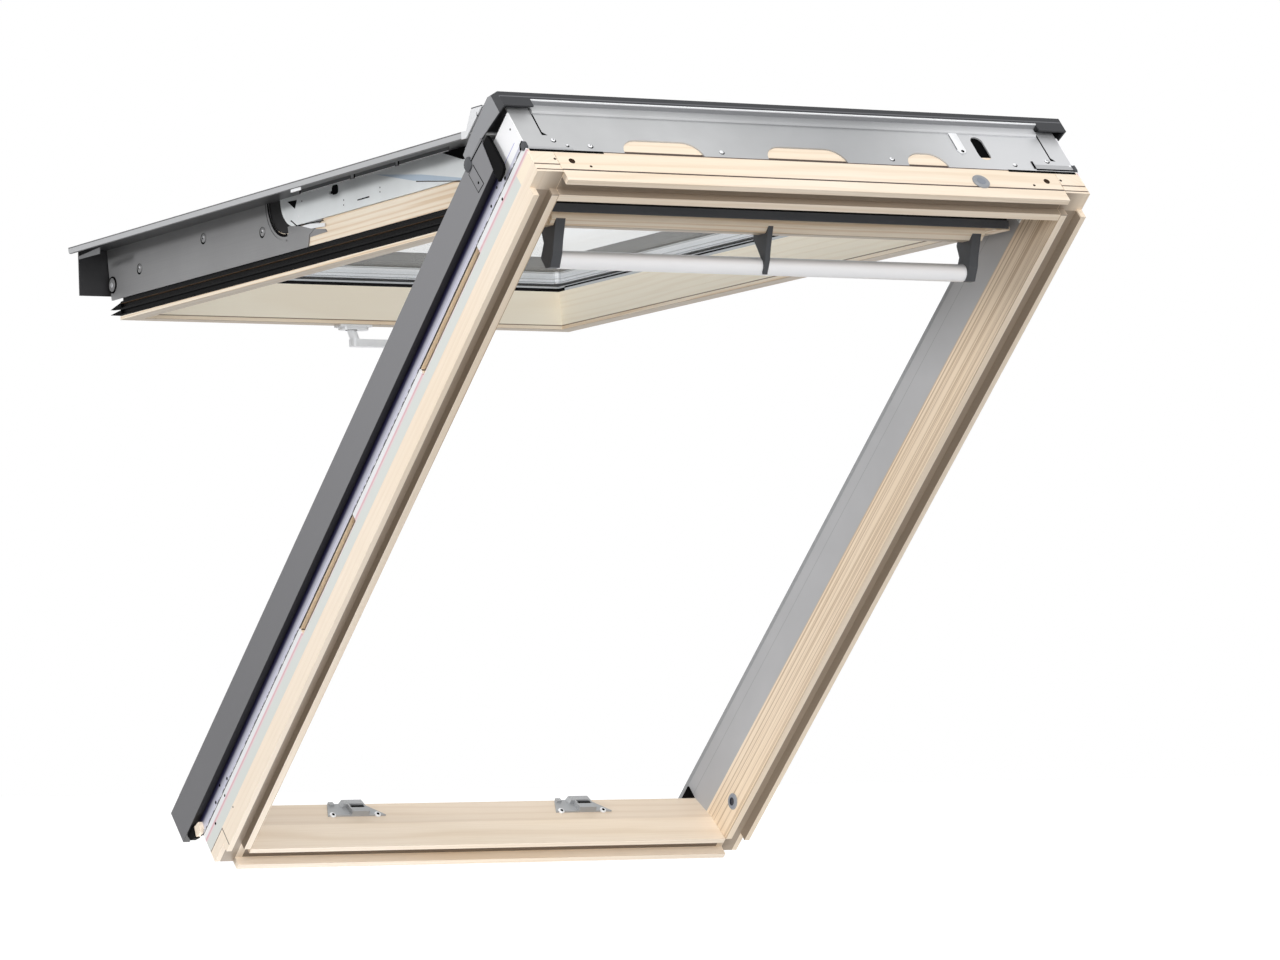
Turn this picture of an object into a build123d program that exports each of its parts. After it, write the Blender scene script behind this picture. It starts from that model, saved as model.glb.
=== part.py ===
from build123d import *
import os
from math import cos, radians, sin

os.makedirs("parts", exist_ok=True)

# Sizes in millimetres, angles in degrees.
# d runs down the slope from the top flank, w runs outward from the lining groove, x to the right
# as seen from the room.
roof_pitch = 45
opening_angle = 40.6
frame_width = 780
frame_length = 1178
fixing_line = 20  # the model's origin lies this far outward of the lining groove, on the top flank

# Pine frame section, measured inward from the flank
lip_width = 7.5
lip_height = 13.5
groove_end = 26
tongue_height = 10.5
reveal_inset = 36
bottom_reveal_inset = 33.5
bottom_reveal_fall = 18.5
bottom_knee_fall = 4.7
bottom_knee_out = 34.5
bottom_lip_reach = 10  # past the ends of the bottom rail
wood_reveal_out = 49
core_out = 103
sheet_thickness = 2
sheet_in = 17
top_sheet_in = 39
rail_in = 53
cladding_thickness = 3
cladding_out = 106
bottom_wood_out = 82

# Outer covers on the frame, from the edge of the frame
cover_overhang = 10
cover_skin = 2
cover_return = 9
side_cover_in = 66
side_cover_out = 117
side_cover_top = 53
side_cover_slant = 6
side_cover_nose = 34
side_cover_setback = 4  # from the reveal out to the cover's inner edge
hood_clearance = 1.4
hood_front = 12
hood_front_in = 114
hood_corner_in = 103
hood_corner_width = 40
hood_front_out = 127
hood_out = 140
hood_shoulder = 9
hood_end = 60
hood_ear_end = 96
hood_ear_out = 136
hood_ear_in = 118
bottom_gasket_setback = 3  # from the reveal edge of the bottom rail
bottom_gasket_width = 6
bottom_gasket_height = 2.5
gusset_width = 21
gusset_height = 24.5
gusset_thickness = 4
bottom_cover_out = 104
bottom_cover_run = 12  # over which it rises beyond the rail

# Openings in the sheets
window_centres = (-201, 0, 173)
window_lengths = (110, 112, 58)
window_height = 24
sheet_slot_across = 265
sheet_slot_length = 42
sheet_slot_width = 17
slot_pocket_depth = 24
slot_pocket_in = 62
sheet_slot_middle = 77
sheet_band_depth = 4
sheet_band_in = 102
flank_slot_starts = (160, 603)
flank_slot_length = 199
flank_slot_in = 34
flank_slot_out = 47
flank_slot_depth = 7
peg_hole_across = 335.5
peg_hole_radius = 4
peg_hole_depth = 12
grommet_across = 235.7
grommet_out = 13.9
grommet_radius = 9
grommet_flange = 1.5
grommet_depth = 8

# Hinge line and sash, as lengths in the closed position
hinge_down = 78
hinge_out = 128
pin_radius = 4
pin_clearance = 0.2
sash_clearance = 9
sash_bottom_inset = 29
sash_in = 49.5
sash_lip = 5
sash_lip_width = 24
sash_reveal_fall = 8
gasket_recess = 8
gasket_out = 80
sash_flank_inset = 4
sash_wood_out = 110
rebate_inset = 10
rebate_out = 101
glass_clearance = 2
glass_top = 66
seal_out = 108
seal_rise = 6
pane_thickness = 4
unit_thickness = 24
spacer_inset = 20
spacer_width = 9

# Sash hardware
plate_thickness = 2
plate_in = 79
plate_slant = 10
plate_top_end = 602
plate_shoulder_out = 102
plate_toe_in = 94
plate_toe_down = 565
plate_toe_end = 612
pivot_down = 665
pivot_out = 150
recess_radius = 47
housing_thickness = 1
housing_clearance = 1
arm_thickness = 2
arm_in = 110
arm_reach = 12
arm_corner_radius = 38
arm_neck = 205
arm_eye_radius = 15
arm_slot_down = 535
arm_slot_out = 139
arm_slot_length = 16
arm_slot_width = 4
hinge_plate_thickness = 2

# Outer covers on the sash
sash_cover_out = 150
sash_cover_in = 141
sash_cover_joint = 561
sash_cover_top = 97
sash_cover_nose = 12
sash_cover_lap = 27
sash_nose_radius = 6
raised_cover_out = 175
raised_cover_start = 46
raised_cover_crest = 70
raised_cover_foot = 85
glass_edge_lap = 15
top_cover_reach = 32
apron_setback = 15
apron_in = 86
casing_out = 132
casing_setback = 1
casing_lap = 20

# Top rail, control bar, handle and keepers
top_rail_setback = 37
top_rail_start = 48
top_rail_end = 80
top_rail_in = 36
top_rail_bevel = 8
bracket_setback = 12
bracket_middle_offset = -3
bracket_widths = {"left": 13, "middle": 7, "right": 13}
bracket_lip = 2.5  # in front of the control bar
bracket_heel = 5  # behind the top rail
bracket_heel_drop = 3
bracket_waist_rise = 20  # above the bar's centre line
bracket_cap = 13
bar_radius = 11
bar_down = 75
bar_in = -2
rosette_length = 50
rosette_width = 22
rosette_flange = 3
rosette_height = 7
block_length = 44
block_width = 18
neck_radius = 6.5
neck_lean = 3
lever_length = 104
lever_width = 14
lever_thickness = 10
lever_in = 20
keeper_middles = {"left": -174.5, "right": 165.5}
keeper_length = 85
keeper_in = 52
keeper_out = 80
keeper_thickness = 2
keeper_rise = 8
keeper_left_slant = 12
keeper_right_slant = 23
ridge_width = 11
stud_length = 7
stud_rise = 5
hook_start = 35
hook_length = 25
hook_slot_length = 20
hook_slot_width = 9
bush_from_end = 83
bush_out = 11.5
bush_radius = 9.5
bush_bore = 5

half = frame_width / 2
reveal_half = half - reveal_inset
cover_half = half + cover_overhang
side_cover_inner = reveal_half + side_cover_setback
side_cover_bottom = frame_length + side_cover_nose
hood_half = cover_half - hood_clearance
bush_down = frame_length - bush_from_end
sash_half = reveal_half - sash_clearance
sash_flank = sash_half - sash_flank_inset
rebate_edge = sash_half - rebate_inset
glass_half = rebate_edge - glass_clearance
sash_bottom = frame_length - sash_bottom_inset
glass_bottom = sash_bottom - rebate_inset - glass_clearance
sash_cover_inner = sash_half - sash_cover_lap
sash_cover_end = frame_length + sash_cover_nose
plate_end = sash_cover_end - cover_skin - plate_slant
sheet_out = sash_cover_out - cover_skin
top_rail_half = sash_half - top_rail_setback
bracket_offset = top_rail_half - bracket_setback
bar_half = bracket_offset - bracket_widths["right"] / 2
sides = {"left": -1, "right": 1}

pitch = radians(roof_pitch)
swing = radians(opening_angle)
out_way = Vector(0, sin(pitch), cos(pitch))
down_way = Vector(0, cos(pitch), -sin(pitch))
frame_plane = Plane(origin=out_way * -fixing_line, x_dir=(1, 0, 0), z_dir=out_way)

open_out = out_way * cos(swing) - down_way * sin(swing)
open_down = down_way * cos(swing) + out_way * sin(swing)
hinge_point = frame_plane.from_local_coords(Vector(0, hinge_down, hinge_out))
sash_origin = hinge_point - open_down * hinge_down - open_out * hinge_out
sash_plane = Plane(origin=sash_origin, x_dir=(1, 0, 0), z_dir=open_out)


def cross_section(base, down):
    """Plane across a stile: x and w in the sketch, a negative extrusion runs down the slope."""
    return Plane(origin=base.from_local_coords(Vector(0, down, 0)), x_dir=base.x_dir, z_dir=-base.y_dir)


def long_section(base, across):
    """Plane across a rail: d and w in the sketch, an extrusion runs to the right."""
    return Plane(origin=base.from_local_coords(Vector(across, 0, 0)), x_dir=base.y_dir, z_dir=base.x_dir)


def outline(points):
    """Closed flat face through the points, in the sketch's own coordinates."""
    return Polygon(*points, align=None)


def keep(builder, name):
    builder.part.label = name
    export_step(builder.part, f"parts/{name}.step")


# Frame stiles
for side, sign in sides.items():
    with BuildPart() as stile:
        with BuildSketch(cross_section(frame_plane, 0)):
            outline([
                (sign * half, -lip_height),
                (sign * (half - lip_width), -lip_height),
                (sign * (half - lip_width), 0),
                (sign * (half - groove_end), 0),
                (sign * (half - groove_end), -tongue_height),
                (sign * reveal_half, -tongue_height),
                (sign * reveal_half, wood_reveal_out),
                (sign * (reveal_half + cladding_thickness), wood_reveal_out),
                (sign * (reveal_half + cladding_thickness), core_out),
                (sign * (half - sheet_thickness), core_out),
                (sign * (half - sheet_thickness), sheet_in),
                (sign * half, sheet_in),
            ])
        extrude(amount=-frame_length)
        with BuildSketch(frame_plane):
            with Locations((sign * (half - reveal_inset / 2), groove_end / 2)):
                Rectangle(reveal_inset, groove_end)
            with Locations((sign * (half - reveal_inset / 2), frame_length - bottom_reveal_inset / 2)):
                Rectangle(reveal_inset, bottom_reveal_inset)
        extrude(amount=-lip_height, mode=Mode.SUBTRACT)
        with BuildSketch(frame_plane.offset(top_sheet_in)):
            with Locations((sign * (half - reveal_inset / 2), sheet_thickness / 2)):
                Rectangle(reveal_inset, sheet_thickness)
        extrude(amount=core_out - top_sheet_in, mode=Mode.SUBTRACT)
        with BuildSketch(long_section(frame_plane, sign * half)):
            for slot_start in flank_slot_starts:
                with Locations((slot_start + flank_slot_length / 2, (flank_slot_in + flank_slot_out) / 2)):
                    Rectangle(flank_slot_length, flank_slot_out - flank_slot_in)
        extrude(amount=-sign * flank_slot_depth, mode=Mode.SUBTRACT)
        if side == "right":
            with Locations(long_section(frame_plane, reveal_half)):
                with Locations((bush_down, bush_out)):
                    Cylinder(bush_radius, 2 * sheet_thickness, mode=Mode.SUBTRACT)
                    Cylinder(bush_bore, reveal_inset, mode=Mode.SUBTRACT)
    keep(stile, f"frame_{side}_stile")

rail_length = 2 * reveal_half

# Frame rails, the top one bored for two pegs and the cable grommet and hollowed behind the sheet's slot
with BuildPart() as top_rail:
    with BuildSketch(long_section(frame_plane, -reveal_half)):
        outline([
            (0, -lip_height),
            (lip_width, -lip_height),
            (lip_width, 0),
            (groove_end, 0),
            (groove_end, -tongue_height),
            (reveal_inset, -tongue_height),
            (reveal_inset, wood_reveal_out),
            (reveal_inset - cladding_thickness, wood_reveal_out),
            (reveal_inset - cladding_thickness, core_out),
            (sheet_thickness, core_out),
            (sheet_thickness, top_sheet_in),
            (0, top_sheet_in),
        ])
    extrude(amount=rail_length)
    with BuildSketch(cross_section(frame_plane, 0)):
        with Locations((-peg_hole_across, fixing_line), (peg_hole_across, fixing_line)):
            Circle(peg_hole_radius)
    extrude(amount=-peg_hole_depth, mode=Mode.SUBTRACT)
    with BuildSketch(cross_section(frame_plane, 0)):
        with Locations((grommet_across, grommet_out)):
            Circle(grommet_radius)
    extrude(amount=-grommet_flange, mode=Mode.SUBTRACT)
    with BuildSketch(cross_section(frame_plane, 0)):
        with Locations((grommet_across, grommet_out)):
            Circle(grommet_radius - grommet_flange)
    extrude(amount=-grommet_depth, mode=Mode.SUBTRACT)
    with BuildSketch(cross_section(frame_plane, 0)):
        with Locations((sheet_slot_across, (slot_pocket_in + core_out) / 2)):
            Rectangle(2 * sheet_slot_width, core_out - slot_pocket_in)
    extrude(amount=-slot_pocket_depth, mode=Mode.SUBTRACT)
keep(top_rail, "frame_top_rail")

with BuildPart() as grommet:
    with BuildSketch(cross_section(frame_plane, 0)):
        with Locations((grommet_across, grommet_out)):
            Circle(grommet_radius)
    extrude(amount=-grommet_flange)
    with BuildSketch(cross_section(frame_plane, 0)):
        with Locations((grommet_across, grommet_out)):
            Circle(grommet_radius - grommet_flange)
    extrude(amount=-grommet_depth)
    with BuildSketch(cross_section(frame_plane, 0)):
        with Locations((grommet_across, grommet_out)):
            Circle(grommet_radius - 2 * grommet_flange)
    extrude(amount=-grommet_flange, mode=Mode.SUBTRACT)
keep(grommet, "cable_grommet")

bottom_edge = frame_length - (bottom_reveal_inset - bottom_reveal_fall)
knee_down = frame_length - (bottom_reveal_inset - bottom_knee_fall)
with BuildPart() as bottom_rail:
    with BuildSketch(long_section(frame_plane, -reveal_half)):
        outline([
            (frame_length, -lip_height),
            (frame_length - lip_width, -lip_height),
            (frame_length - lip_width, 0),
            (frame_length - groove_end, 0),
            (frame_length - groove_end, -tongue_height),
            (frame_length - bottom_reveal_inset, -tongue_height),
            (knee_down, bottom_knee_out),
            (bottom_edge, bottom_wood_out),
            (frame_length - sheet_thickness, bottom_wood_out),
            (frame_length - sheet_thickness, sheet_in),
            (frame_length, sheet_in),
        ])
    extrude(amount=rail_length)
    with BuildSketch(long_section(frame_plane, -reveal_half - bottom_lip_reach)):
        outline([
            (frame_length, -lip_height),
            (frame_length - lip_width, -lip_height),
            (frame_length - lip_width, 0),
            (frame_length, 0),
        ])
    extrude(amount=rail_length + 2 * bottom_lip_reach)
keep(bottom_rail, "frame_bottom_rail")

with BuildPart() as bottom_sheet:
    with BuildSketch(long_section(frame_plane, -reveal_half)):
        outline([
            (frame_length, sheet_in),
            (frame_length, bottom_wood_out),
            (frame_length - sheet_thickness, bottom_wood_out),
            (frame_length - sheet_thickness, sheet_in),
        ])
    extrude(amount=rail_length)
keep(bottom_sheet, "bottom_flank_sheet")

# Zinc sheet on the top flank: windows that leave the wood bare, a slot and a rolled upper band
top_sheet_half = half - sheet_thickness
with BuildPart() as top_sheet:
    with BuildSketch(cross_section(frame_plane, 0)):
        with Locations((0, (top_sheet_in + hood_front_in) / 2)):
            Rectangle(2 * top_sheet_half, hood_front_in - top_sheet_in)
        for centre, length in zip(window_centres, window_lengths):
            with Locations((centre, top_sheet_in)):
                SlotOverall(length, 2 * window_height, mode=Mode.SUBTRACT)
        with Locations((sheet_slot_across, sheet_slot_middle)):
            SlotOverall(sheet_slot_length, sheet_slot_width, rotation=90, mode=Mode.SUBTRACT)
    extrude(amount=-sheet_thickness)
    with BuildSketch(long_section(frame_plane, -side_cover_inner)):
        outline([
            (0, sheet_band_in),
            (-sheet_band_depth / 2, sheet_band_in),
            (-sheet_band_depth, sheet_band_in + sheet_band_depth / 2),
            (-sheet_band_depth, hood_front_in),
            (0, hood_front_in),
        ])
    extrude(amount=2 * side_cover_inner)
keep(top_sheet, "top_sheet")

# Flank sheets and aluminium rails beside the stiles
for side, sign in sides.items():
    with BuildPart() as flank_sheet:
        with BuildSketch(cross_section(frame_plane, 0)):
            with Locations((sign * (half - sheet_thickness / 2), (sheet_in + rail_in) / 2)):
                Rectangle(sheet_thickness, rail_in - sheet_in)
        extrude(amount=-frame_length)
        with BuildSketch(long_section(frame_plane, sign * half)):
            for slot_start in flank_slot_starts:
                with Locations((slot_start + flank_slot_length / 2, (flank_slot_in + flank_slot_out) / 2)):
                    Rectangle(flank_slot_length, flank_slot_out - flank_slot_in)
        extrude(amount=-sign * sheet_thickness, mode=Mode.SUBTRACT)
    keep(flank_sheet, f"{side}_flank_sheet")

    with BuildPart() as side_rail:
        with BuildSketch(cross_section(frame_plane, 0)):
            with Locations((sign * (half - sheet_thickness / 2), (rail_in + core_out) / 2)):
                Rectangle(sheet_thickness, core_out - rail_in)
        extrude(amount=-frame_length)
    keep(side_rail, f"{side}_side_rail")

    with BuildPart() as cladding:
        with BuildSketch(cross_section(frame_plane, reveal_inset - cladding_thickness)):
            outline([
                (sign * reveal_half, wood_reveal_out),
                (sign * (reveal_half + cladding_thickness), wood_reveal_out),
                (sign * (reveal_half + cladding_thickness), core_out),
                (sign * (half - sheet_thickness), core_out),
                (sign * (half - sheet_thickness), cladding_out),
                (sign * reveal_half, cladding_out),
            ])
        extrude(amount=-(bottom_edge - reveal_inset + cladding_thickness))
    keep(cladding, f"{side}_reveal_cladding")

    with BuildPart() as side_cover:
        with BuildSketch(cross_section(frame_plane, side_cover_top)):
            outline([
                (sign * cover_half, side_cover_in),
                (sign * cover_half, side_cover_out),
                (sign * side_cover_inner, side_cover_out),
                (sign * side_cover_inner, cladding_out),
                (sign * (side_cover_inner + cover_skin), cladding_out),
                (sign * (side_cover_inner + cover_skin), side_cover_out - cover_skin),
                (sign * (cover_half - cover_skin), side_cover_out - cover_skin),
                (sign * (cover_half - cover_skin), side_cover_in + cover_skin),
                (sign * (cover_half - cover_return), side_cover_in + cover_skin),
                (sign * (cover_half - cover_return), side_cover_in),
            ])
        extrude(amount=-(side_cover_bottom - side_cover_top))
        with BuildSketch(long_section(frame_plane, sign * cover_half)):
            outline([
                (side_cover_top, side_cover_out - cover_skin),
                (side_cover_top, side_cover_in),
                (side_cover_top + side_cover_slant, side_cover_in),
            ])
        extrude(amount=-sign * (cover_half - side_cover_inner), mode=Mode.SUBTRACT)
    keep(side_cover, f"{side}_side_cover")

# Aluminium over the top rail, under the hood
with BuildPart() as top_cladding:
    with BuildSketch(long_section(frame_plane, -reveal_half)):
        outline([
            (reveal_inset, wood_reveal_out),
            (reveal_inset - cladding_thickness, wood_reveal_out),
            (reveal_inset - cladding_thickness, core_out),
            (sheet_thickness, core_out),
            (sheet_thickness, cladding_out),
            (reveal_inset, cladding_out),
        ])
    extrude(amount=rail_length)
keep(top_cladding, "top_reveal_cladding")

# Rubber seal on the bottom rail with a gusset in each corner, and the cover that rises beyond it
gasket_start = bottom_edge + bottom_gasket_setback
gasket_end = gasket_start + bottom_gasket_width
with BuildPart() as bottom_gasket:
    with BuildSketch(long_section(frame_plane, -reveal_half)):
        with Locations(((gasket_start + gasket_end) / 2, bottom_wood_out + bottom_gasket_height / 2)):
            Rectangle(bottom_gasket_width, bottom_gasket_height)
    extrude(amount=rail_length)
    with BuildSketch(cross_section(frame_plane, gasket_start)):
        for sign in sides.values():
            outline([
                (sign * (reveal_half - gusset_width), bottom_wood_out),
                (sign * (reveal_half + cladding_thickness), bottom_wood_out),
                (sign * (reveal_half + cladding_thickness), bottom_wood_out + gusset_height),
                (sign * reveal_half, bottom_wood_out + gusset_height),
            ])
    extrude(amount=-gusset_thickness)
keep(bottom_gasket, "frame_bottom_gasket")

rise_start = frame_length - sheet_thickness
rise_end = rise_start + bottom_cover_run
bottom_cover_half = reveal_half + cladding_thickness
with BuildPart() as bottom_cover:
    with BuildSketch(long_section(frame_plane, -bottom_cover_half)):
        outline([
            (gasket_end, bottom_wood_out),
            (gasket_end, bottom_wood_out + cover_skin),
            (rise_start, bottom_wood_out + cover_skin),
            (rise_end, bottom_cover_out),
            (side_cover_bottom, bottom_cover_out),
            (side_cover_bottom, side_cover_in),
            (side_cover_bottom - cover_skin, side_cover_in),
            (side_cover_bottom - cover_skin, bottom_cover_out - cover_skin),
            (rise_end + cover_skin / 2, bottom_cover_out - cover_skin),
            (rise_start + cover_skin, bottom_wood_out),
        ])
    extrude(amount=2 * bottom_cover_half)
keep(bottom_cover, "frame_bottom_cover")

# Hood over the top, deeper at its front corners, with ears that run down beside the hinges
with BuildPart() as hood:
    with BuildSketch(long_section(frame_plane, -hood_half)):
        outline([
            (0, hood_front_in),
            (-hood_front, hood_front_in),
            (-hood_front, hood_front_out),
            (hood_shoulder, hood_out),
            (hood_end, hood_out),
            (hood_end, hood_out - cover_skin),
            (hood_shoulder, hood_out - cover_skin),
            (cover_skin - hood_front, hood_front_out - cover_skin),
            (cover_skin - hood_front, hood_front_in + cover_skin),
            (0, hood_front_in + cover_skin),
        ])
    extrude(amount=2 * hood_half)
    for start in (-hood_half, hood_half - cover_skin):
        with BuildSketch(long_section(frame_plane, start)):
            outline([
                (side_cover_top, hood_ear_in - cover_skin),
                (-hood_front, hood_corner_in),
                (-hood_front, hood_front_out),
                (hood_shoulder, hood_out),
                (hood_end, hood_out),
                (hood_ear_end, hood_ear_out),
                (hood_ear_end, hood_ear_in),
                (side_cover_top, hood_ear_in),
            ])
        extrude(amount=cover_skin)
    for start in (-hood_half, hood_half - hood_corner_width):
        with BuildSketch(long_section(frame_plane, start)):
            outline([
                (-hood_front, hood_corner_in),
                (-hood_front, hood_front_out),
                (cover_skin - hood_front, hood_front_out),
                (cover_skin - hood_front, hood_corner_in),
            ])
        extrude(amount=hood_corner_width)
keep(hood, "top_hood")

# Hinge plates, pins and the sash arms that turn on them
arm_end = pivot_down + arm_reach
housing_out = sash_flank + housing_thickness
for side, sign in sides.items():
    with BuildPart() as hinge_plate:
        with BuildSketch(long_section(frame_plane, sign * reveal_half)):
            with Locations((hinge_down, hinge_out)):
                Circle(arm_eye_radius)
            with Locations((hinge_down, (hinge_out + wood_reveal_out) / 2)):
                Rectangle(2 * arm_eye_radius, hinge_out - wood_reveal_out)
            with Locations((hinge_down, hinge_out)):
                Circle(pin_radius, mode=Mode.SUBTRACT)
        extrude(amount=-sign * hinge_plate_thickness)
    keep(hinge_plate, f"{side}_hinge_plate")

    with BuildPart() as pin:
        with BuildSketch(long_section(frame_plane, sign * reveal_half)):
            with Locations((hinge_down, hinge_out)):
                Circle(pin_radius)
        extrude(amount=-sign * (reveal_half - sash_flank))
    keep(pin, f"{side}_hinge_pin")

    with BuildPart() as housing:
        with BuildSketch(long_section(sash_plane, sign * sash_flank)):
            with Locations((pivot_down, pivot_out)):
                Circle(recess_radius - housing_clearance)
            with Locations((pivot_down, sheet_out + recess_radius)):
                Rectangle(2 * recess_radius, 2 * recess_radius, mode=Mode.SUBTRACT)
        extrude(amount=sign * housing_thickness)
    keep(housing, f"{side}_pivot_housing")

    with BuildPart() as arm:
        with BuildSketch(long_section(sash_plane, sign * housing_out)):
            outline([
                (hinge_down, hinge_out - arm_eye_radius),
                (arm_neck, arm_in),
                (arm_end - arm_corner_radius, arm_in),
                (arm_end, arm_in + arm_corner_radius),
                (arm_neck, sheet_out),
                (hinge_down, hinge_out + arm_eye_radius - sash_lip),
            ])
            with Locations((hinge_down, hinge_out - sash_lip / 2)):
                Circle(arm_eye_radius - sash_lip / 2)
            with Locations((arm_end - arm_corner_radius, arm_in + arm_corner_radius)):
                Circle(arm_corner_radius)
            with Locations((pivot_down, sheet_out + recess_radius / 2)):
                Rectangle(4 * recess_radius, recess_radius, mode=Mode.SUBTRACT)
            with Locations((hinge_down, hinge_out)):
                Circle(pin_radius + pin_clearance, mode=Mode.SUBTRACT)
            with Locations((arm_slot_down, arm_slot_out)):
                SlotOverall(arm_slot_length, arm_slot_width, mode=Mode.SUBTRACT)
        extrude(amount=sign * arm_thickness)
    keep(arm, f"{side}_arm")

# Keepers for the lock on the upper face of the bottom rail, narrower towards its edge
knee = Vector(0, knee_down, bottom_knee_out)
slope_way = (Vector(0, bottom_edge, bottom_wood_out) - knee).normalized()
slope_normal = Vector(0, -slope_way.Z, slope_way.Y)
slope_plane = Plane(
    origin=frame_plane.from_local_coords(knee),
    x_dir=(1, 0, 0),
    z_dir=frame_plane.from_local_coords(slope_normal) - frame_plane.from_local_coords(Vector(0, 0, 0)),
)
keeper_start = (keeper_in - bottom_knee_out) / slope_way.Z
keeper_end = (keeper_out - bottom_knee_out) / slope_way.Z
hook_width = keeper_end - keeper_start
for side, middle in keeper_middles.items():
    start = middle - keeper_length / 2
    narrow_start = start + keeper_left_slant
    narrow_end = start + keeper_length - keeper_right_slant
    with BuildPart() as keeper:
        with BuildSketch(slope_plane):
            outline([
                (start, keeper_start),
                (start + keeper_length, keeper_start),
                (narrow_end, keeper_end),
                (narrow_start, keeper_end),
            ])
        extrude(amount=keeper_thickness)
        with BuildSketch(slope_plane):
            with Locations((narrow_start + stud_length / 2, keeper_end - stud_length / 2)):
                Rectangle(stud_length, stud_length)
        extrude(amount=stud_rise)
        with BuildSketch(slope_plane):
            with Locations((start + hook_start + hook_length / 2, (keeper_start + keeper_end) / 2)):
                Rectangle(hook_length, hook_width)
        extrude(amount=keeper_rise)
        ridge_plane = Plane(
            origin=slope_plane.from_local_coords(Vector(start, keeper_end, 0)),
            x_dir=(1, 0, 0),
            z_dir=-slope_plane.y_dir,
        )
        with BuildSketch(ridge_plane):
            outline([
                (hook_start - keeper_rise, 0),
                (hook_start - keeper_rise / 2, keeper_rise),
                (hook_start + hook_length, keeper_rise),
                (keeper_length - keeper_right_slant, keeper_thickness),
                (keeper_length - keeper_right_slant, 0),
            ])
        extrude(amount=ridge_width)
        with BuildSketch(slope_plane.offset(keeper_rise)):
            with Locations((start + hook_start + hook_length / 2, (keeper_start + keeper_end) / 2)):
                Rectangle(hook_slot_length, hook_slot_width)
        extrude(amount=-(keeper_rise - keeper_thickness), mode=Mode.SUBTRACT)
    keep(keeper, f"{side}_keeper")

# Bush of the barrel bolt
with BuildPart() as bush:
    with Locations(long_section(frame_plane, reveal_half)):
        with Locations((bush_down, bush_out)):
            Cylinder(bush_radius, 2 * sheet_thickness)
            Cylinder(bush_bore, 2 * sheet_thickness, mode=Mode.SUBTRACT)
keep(bush, "bolt_bush")

# Sash stiles and bottom rail, mitred at the bottom corners
sash_section = [
    (0, sash_in),
    (0, sash_in + sash_lip),
    (gasket_recess, sash_in + sash_lip),
    (gasket_recess, gasket_out),
    (sash_flank_inset, gasket_out),
    (sash_flank_inset, sash_wood_out),
    (rebate_inset, sash_wood_out),
    (rebate_inset, rebate_out),
    (sash_lip_width + sash_reveal_fall, rebate_out),
    (sash_lip_width, sash_in),
]
for side, sign in sides.items():
    with BuildPart() as sash_stile:
        with BuildSketch(cross_section(sash_plane, top_rail_start)):
            outline([(sign * (sash_half - inset), w) for inset, w in sash_section])
        extrude(amount=-(sash_bottom - top_rail_start))
        with BuildSketch(sash_plane.offset(sash_in)):
            outline([
                (sign * sash_half, sash_bottom),
                (0, sash_bottom),
                (0, sash_bottom - sash_half),
            ])
        extrude(amount=sash_wood_out - sash_in, mode=Mode.SUBTRACT)
    keep(sash_stile, f"sash_{side}_stile")

with BuildPart() as sash_bottom_rail:
    with BuildSketch(long_section(sash_plane, -sash_half)):
        outline([(sash_bottom - inset, w) for inset, w in sash_section])
    extrude(amount=2 * sash_half)
    with BuildSketch(sash_plane.offset(sash_in)):
        for sign in sides.values():
            outline([
                (sign * sash_half, sash_bottom),
                (sign * sash_half, sash_bottom - sash_half),
                (0, sash_bottom - sash_half),
            ])
    extrude(amount=sash_wood_out - sash_in, mode=Mode.SUBTRACT)
keep(sash_bottom_rail, "sash_bottom_rail")

glass_top_edge = top_rail_end + seal_rise
with BuildPart() as sash_top_rail:
    with BuildSketch(long_section(sash_plane, -top_rail_half)):
        outline([
            (top_rail_start, top_rail_in + top_rail_bevel),
            (top_rail_start + top_rail_bevel, top_rail_in),
            (top_rail_end - top_rail_bevel, top_rail_in),
            (top_rail_end, top_rail_in + top_rail_bevel),
            (glass_top_edge, rebate_out),
            (top_rail_start, rebate_out),
        ])
    extrude(amount=2 * top_rail_half)
keep(sash_top_rail, "sash_top_rail")

# Black finned gaskets in the recess round the sash
fin_count = 3
fin_tip = 1
fin_root = 5
fin_pitch = (gasket_out - sash_in - sash_lip) / fin_count
fin_section = [(gasket_recess, sash_in + sash_lip)]
for fin in range(fin_count):
    start = sash_in + sash_lip + fin * fin_pitch
    fin_section += [
        (fin_tip, start),
        (fin_tip, start + 0.3 * fin_pitch),
        (fin_root, start + 0.5 * fin_pitch),
        (fin_root, start + fin_pitch),
    ]
fin_section.append((gasket_recess, gasket_out))
for side, sign in sides.items():
    with BuildPart() as gasket:
        with BuildSketch(cross_section(sash_plane, top_rail_end)):
            outline([(sign * (sash_half - inset), w) for inset, w in fin_section])
        extrude(amount=-(sash_bottom - top_rail_end))
    keep(gasket, f"sash_{side}_gasket")

with BuildPart() as gasket:
    with BuildSketch(long_section(sash_plane, -(sash_half - gasket_recess))):
        outline([(sash_bottom - inset, w) for inset, w in fin_section])
    extrude(amount=2 * (sash_half - gasket_recess))
keep(gasket, "sash_bottom_gasket")

# Sealed glass unit
glass_middle = (glass_top + glass_bottom) / 2
glass_length = glass_bottom - glass_top
seal_inset = sash_lip_width + sash_reveal_fall
with BuildPart() as glazing_seal:
    with BuildSketch(sash_plane.offset(rebate_out)):
        with Locations((0, glass_middle)):
            Rectangle(2 * glass_half, glass_length)
        with Locations((0, (glass_top_edge + sash_bottom - seal_inset) / 2)):
            Rectangle(
                2 * (sash_half - seal_inset),
                sash_bottom - seal_inset - glass_top_edge,
                mode=Mode.SUBTRACT,
            )
    extrude(amount=seal_out - rebate_out)
keep(glazing_seal, "glazing_seal")

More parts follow.
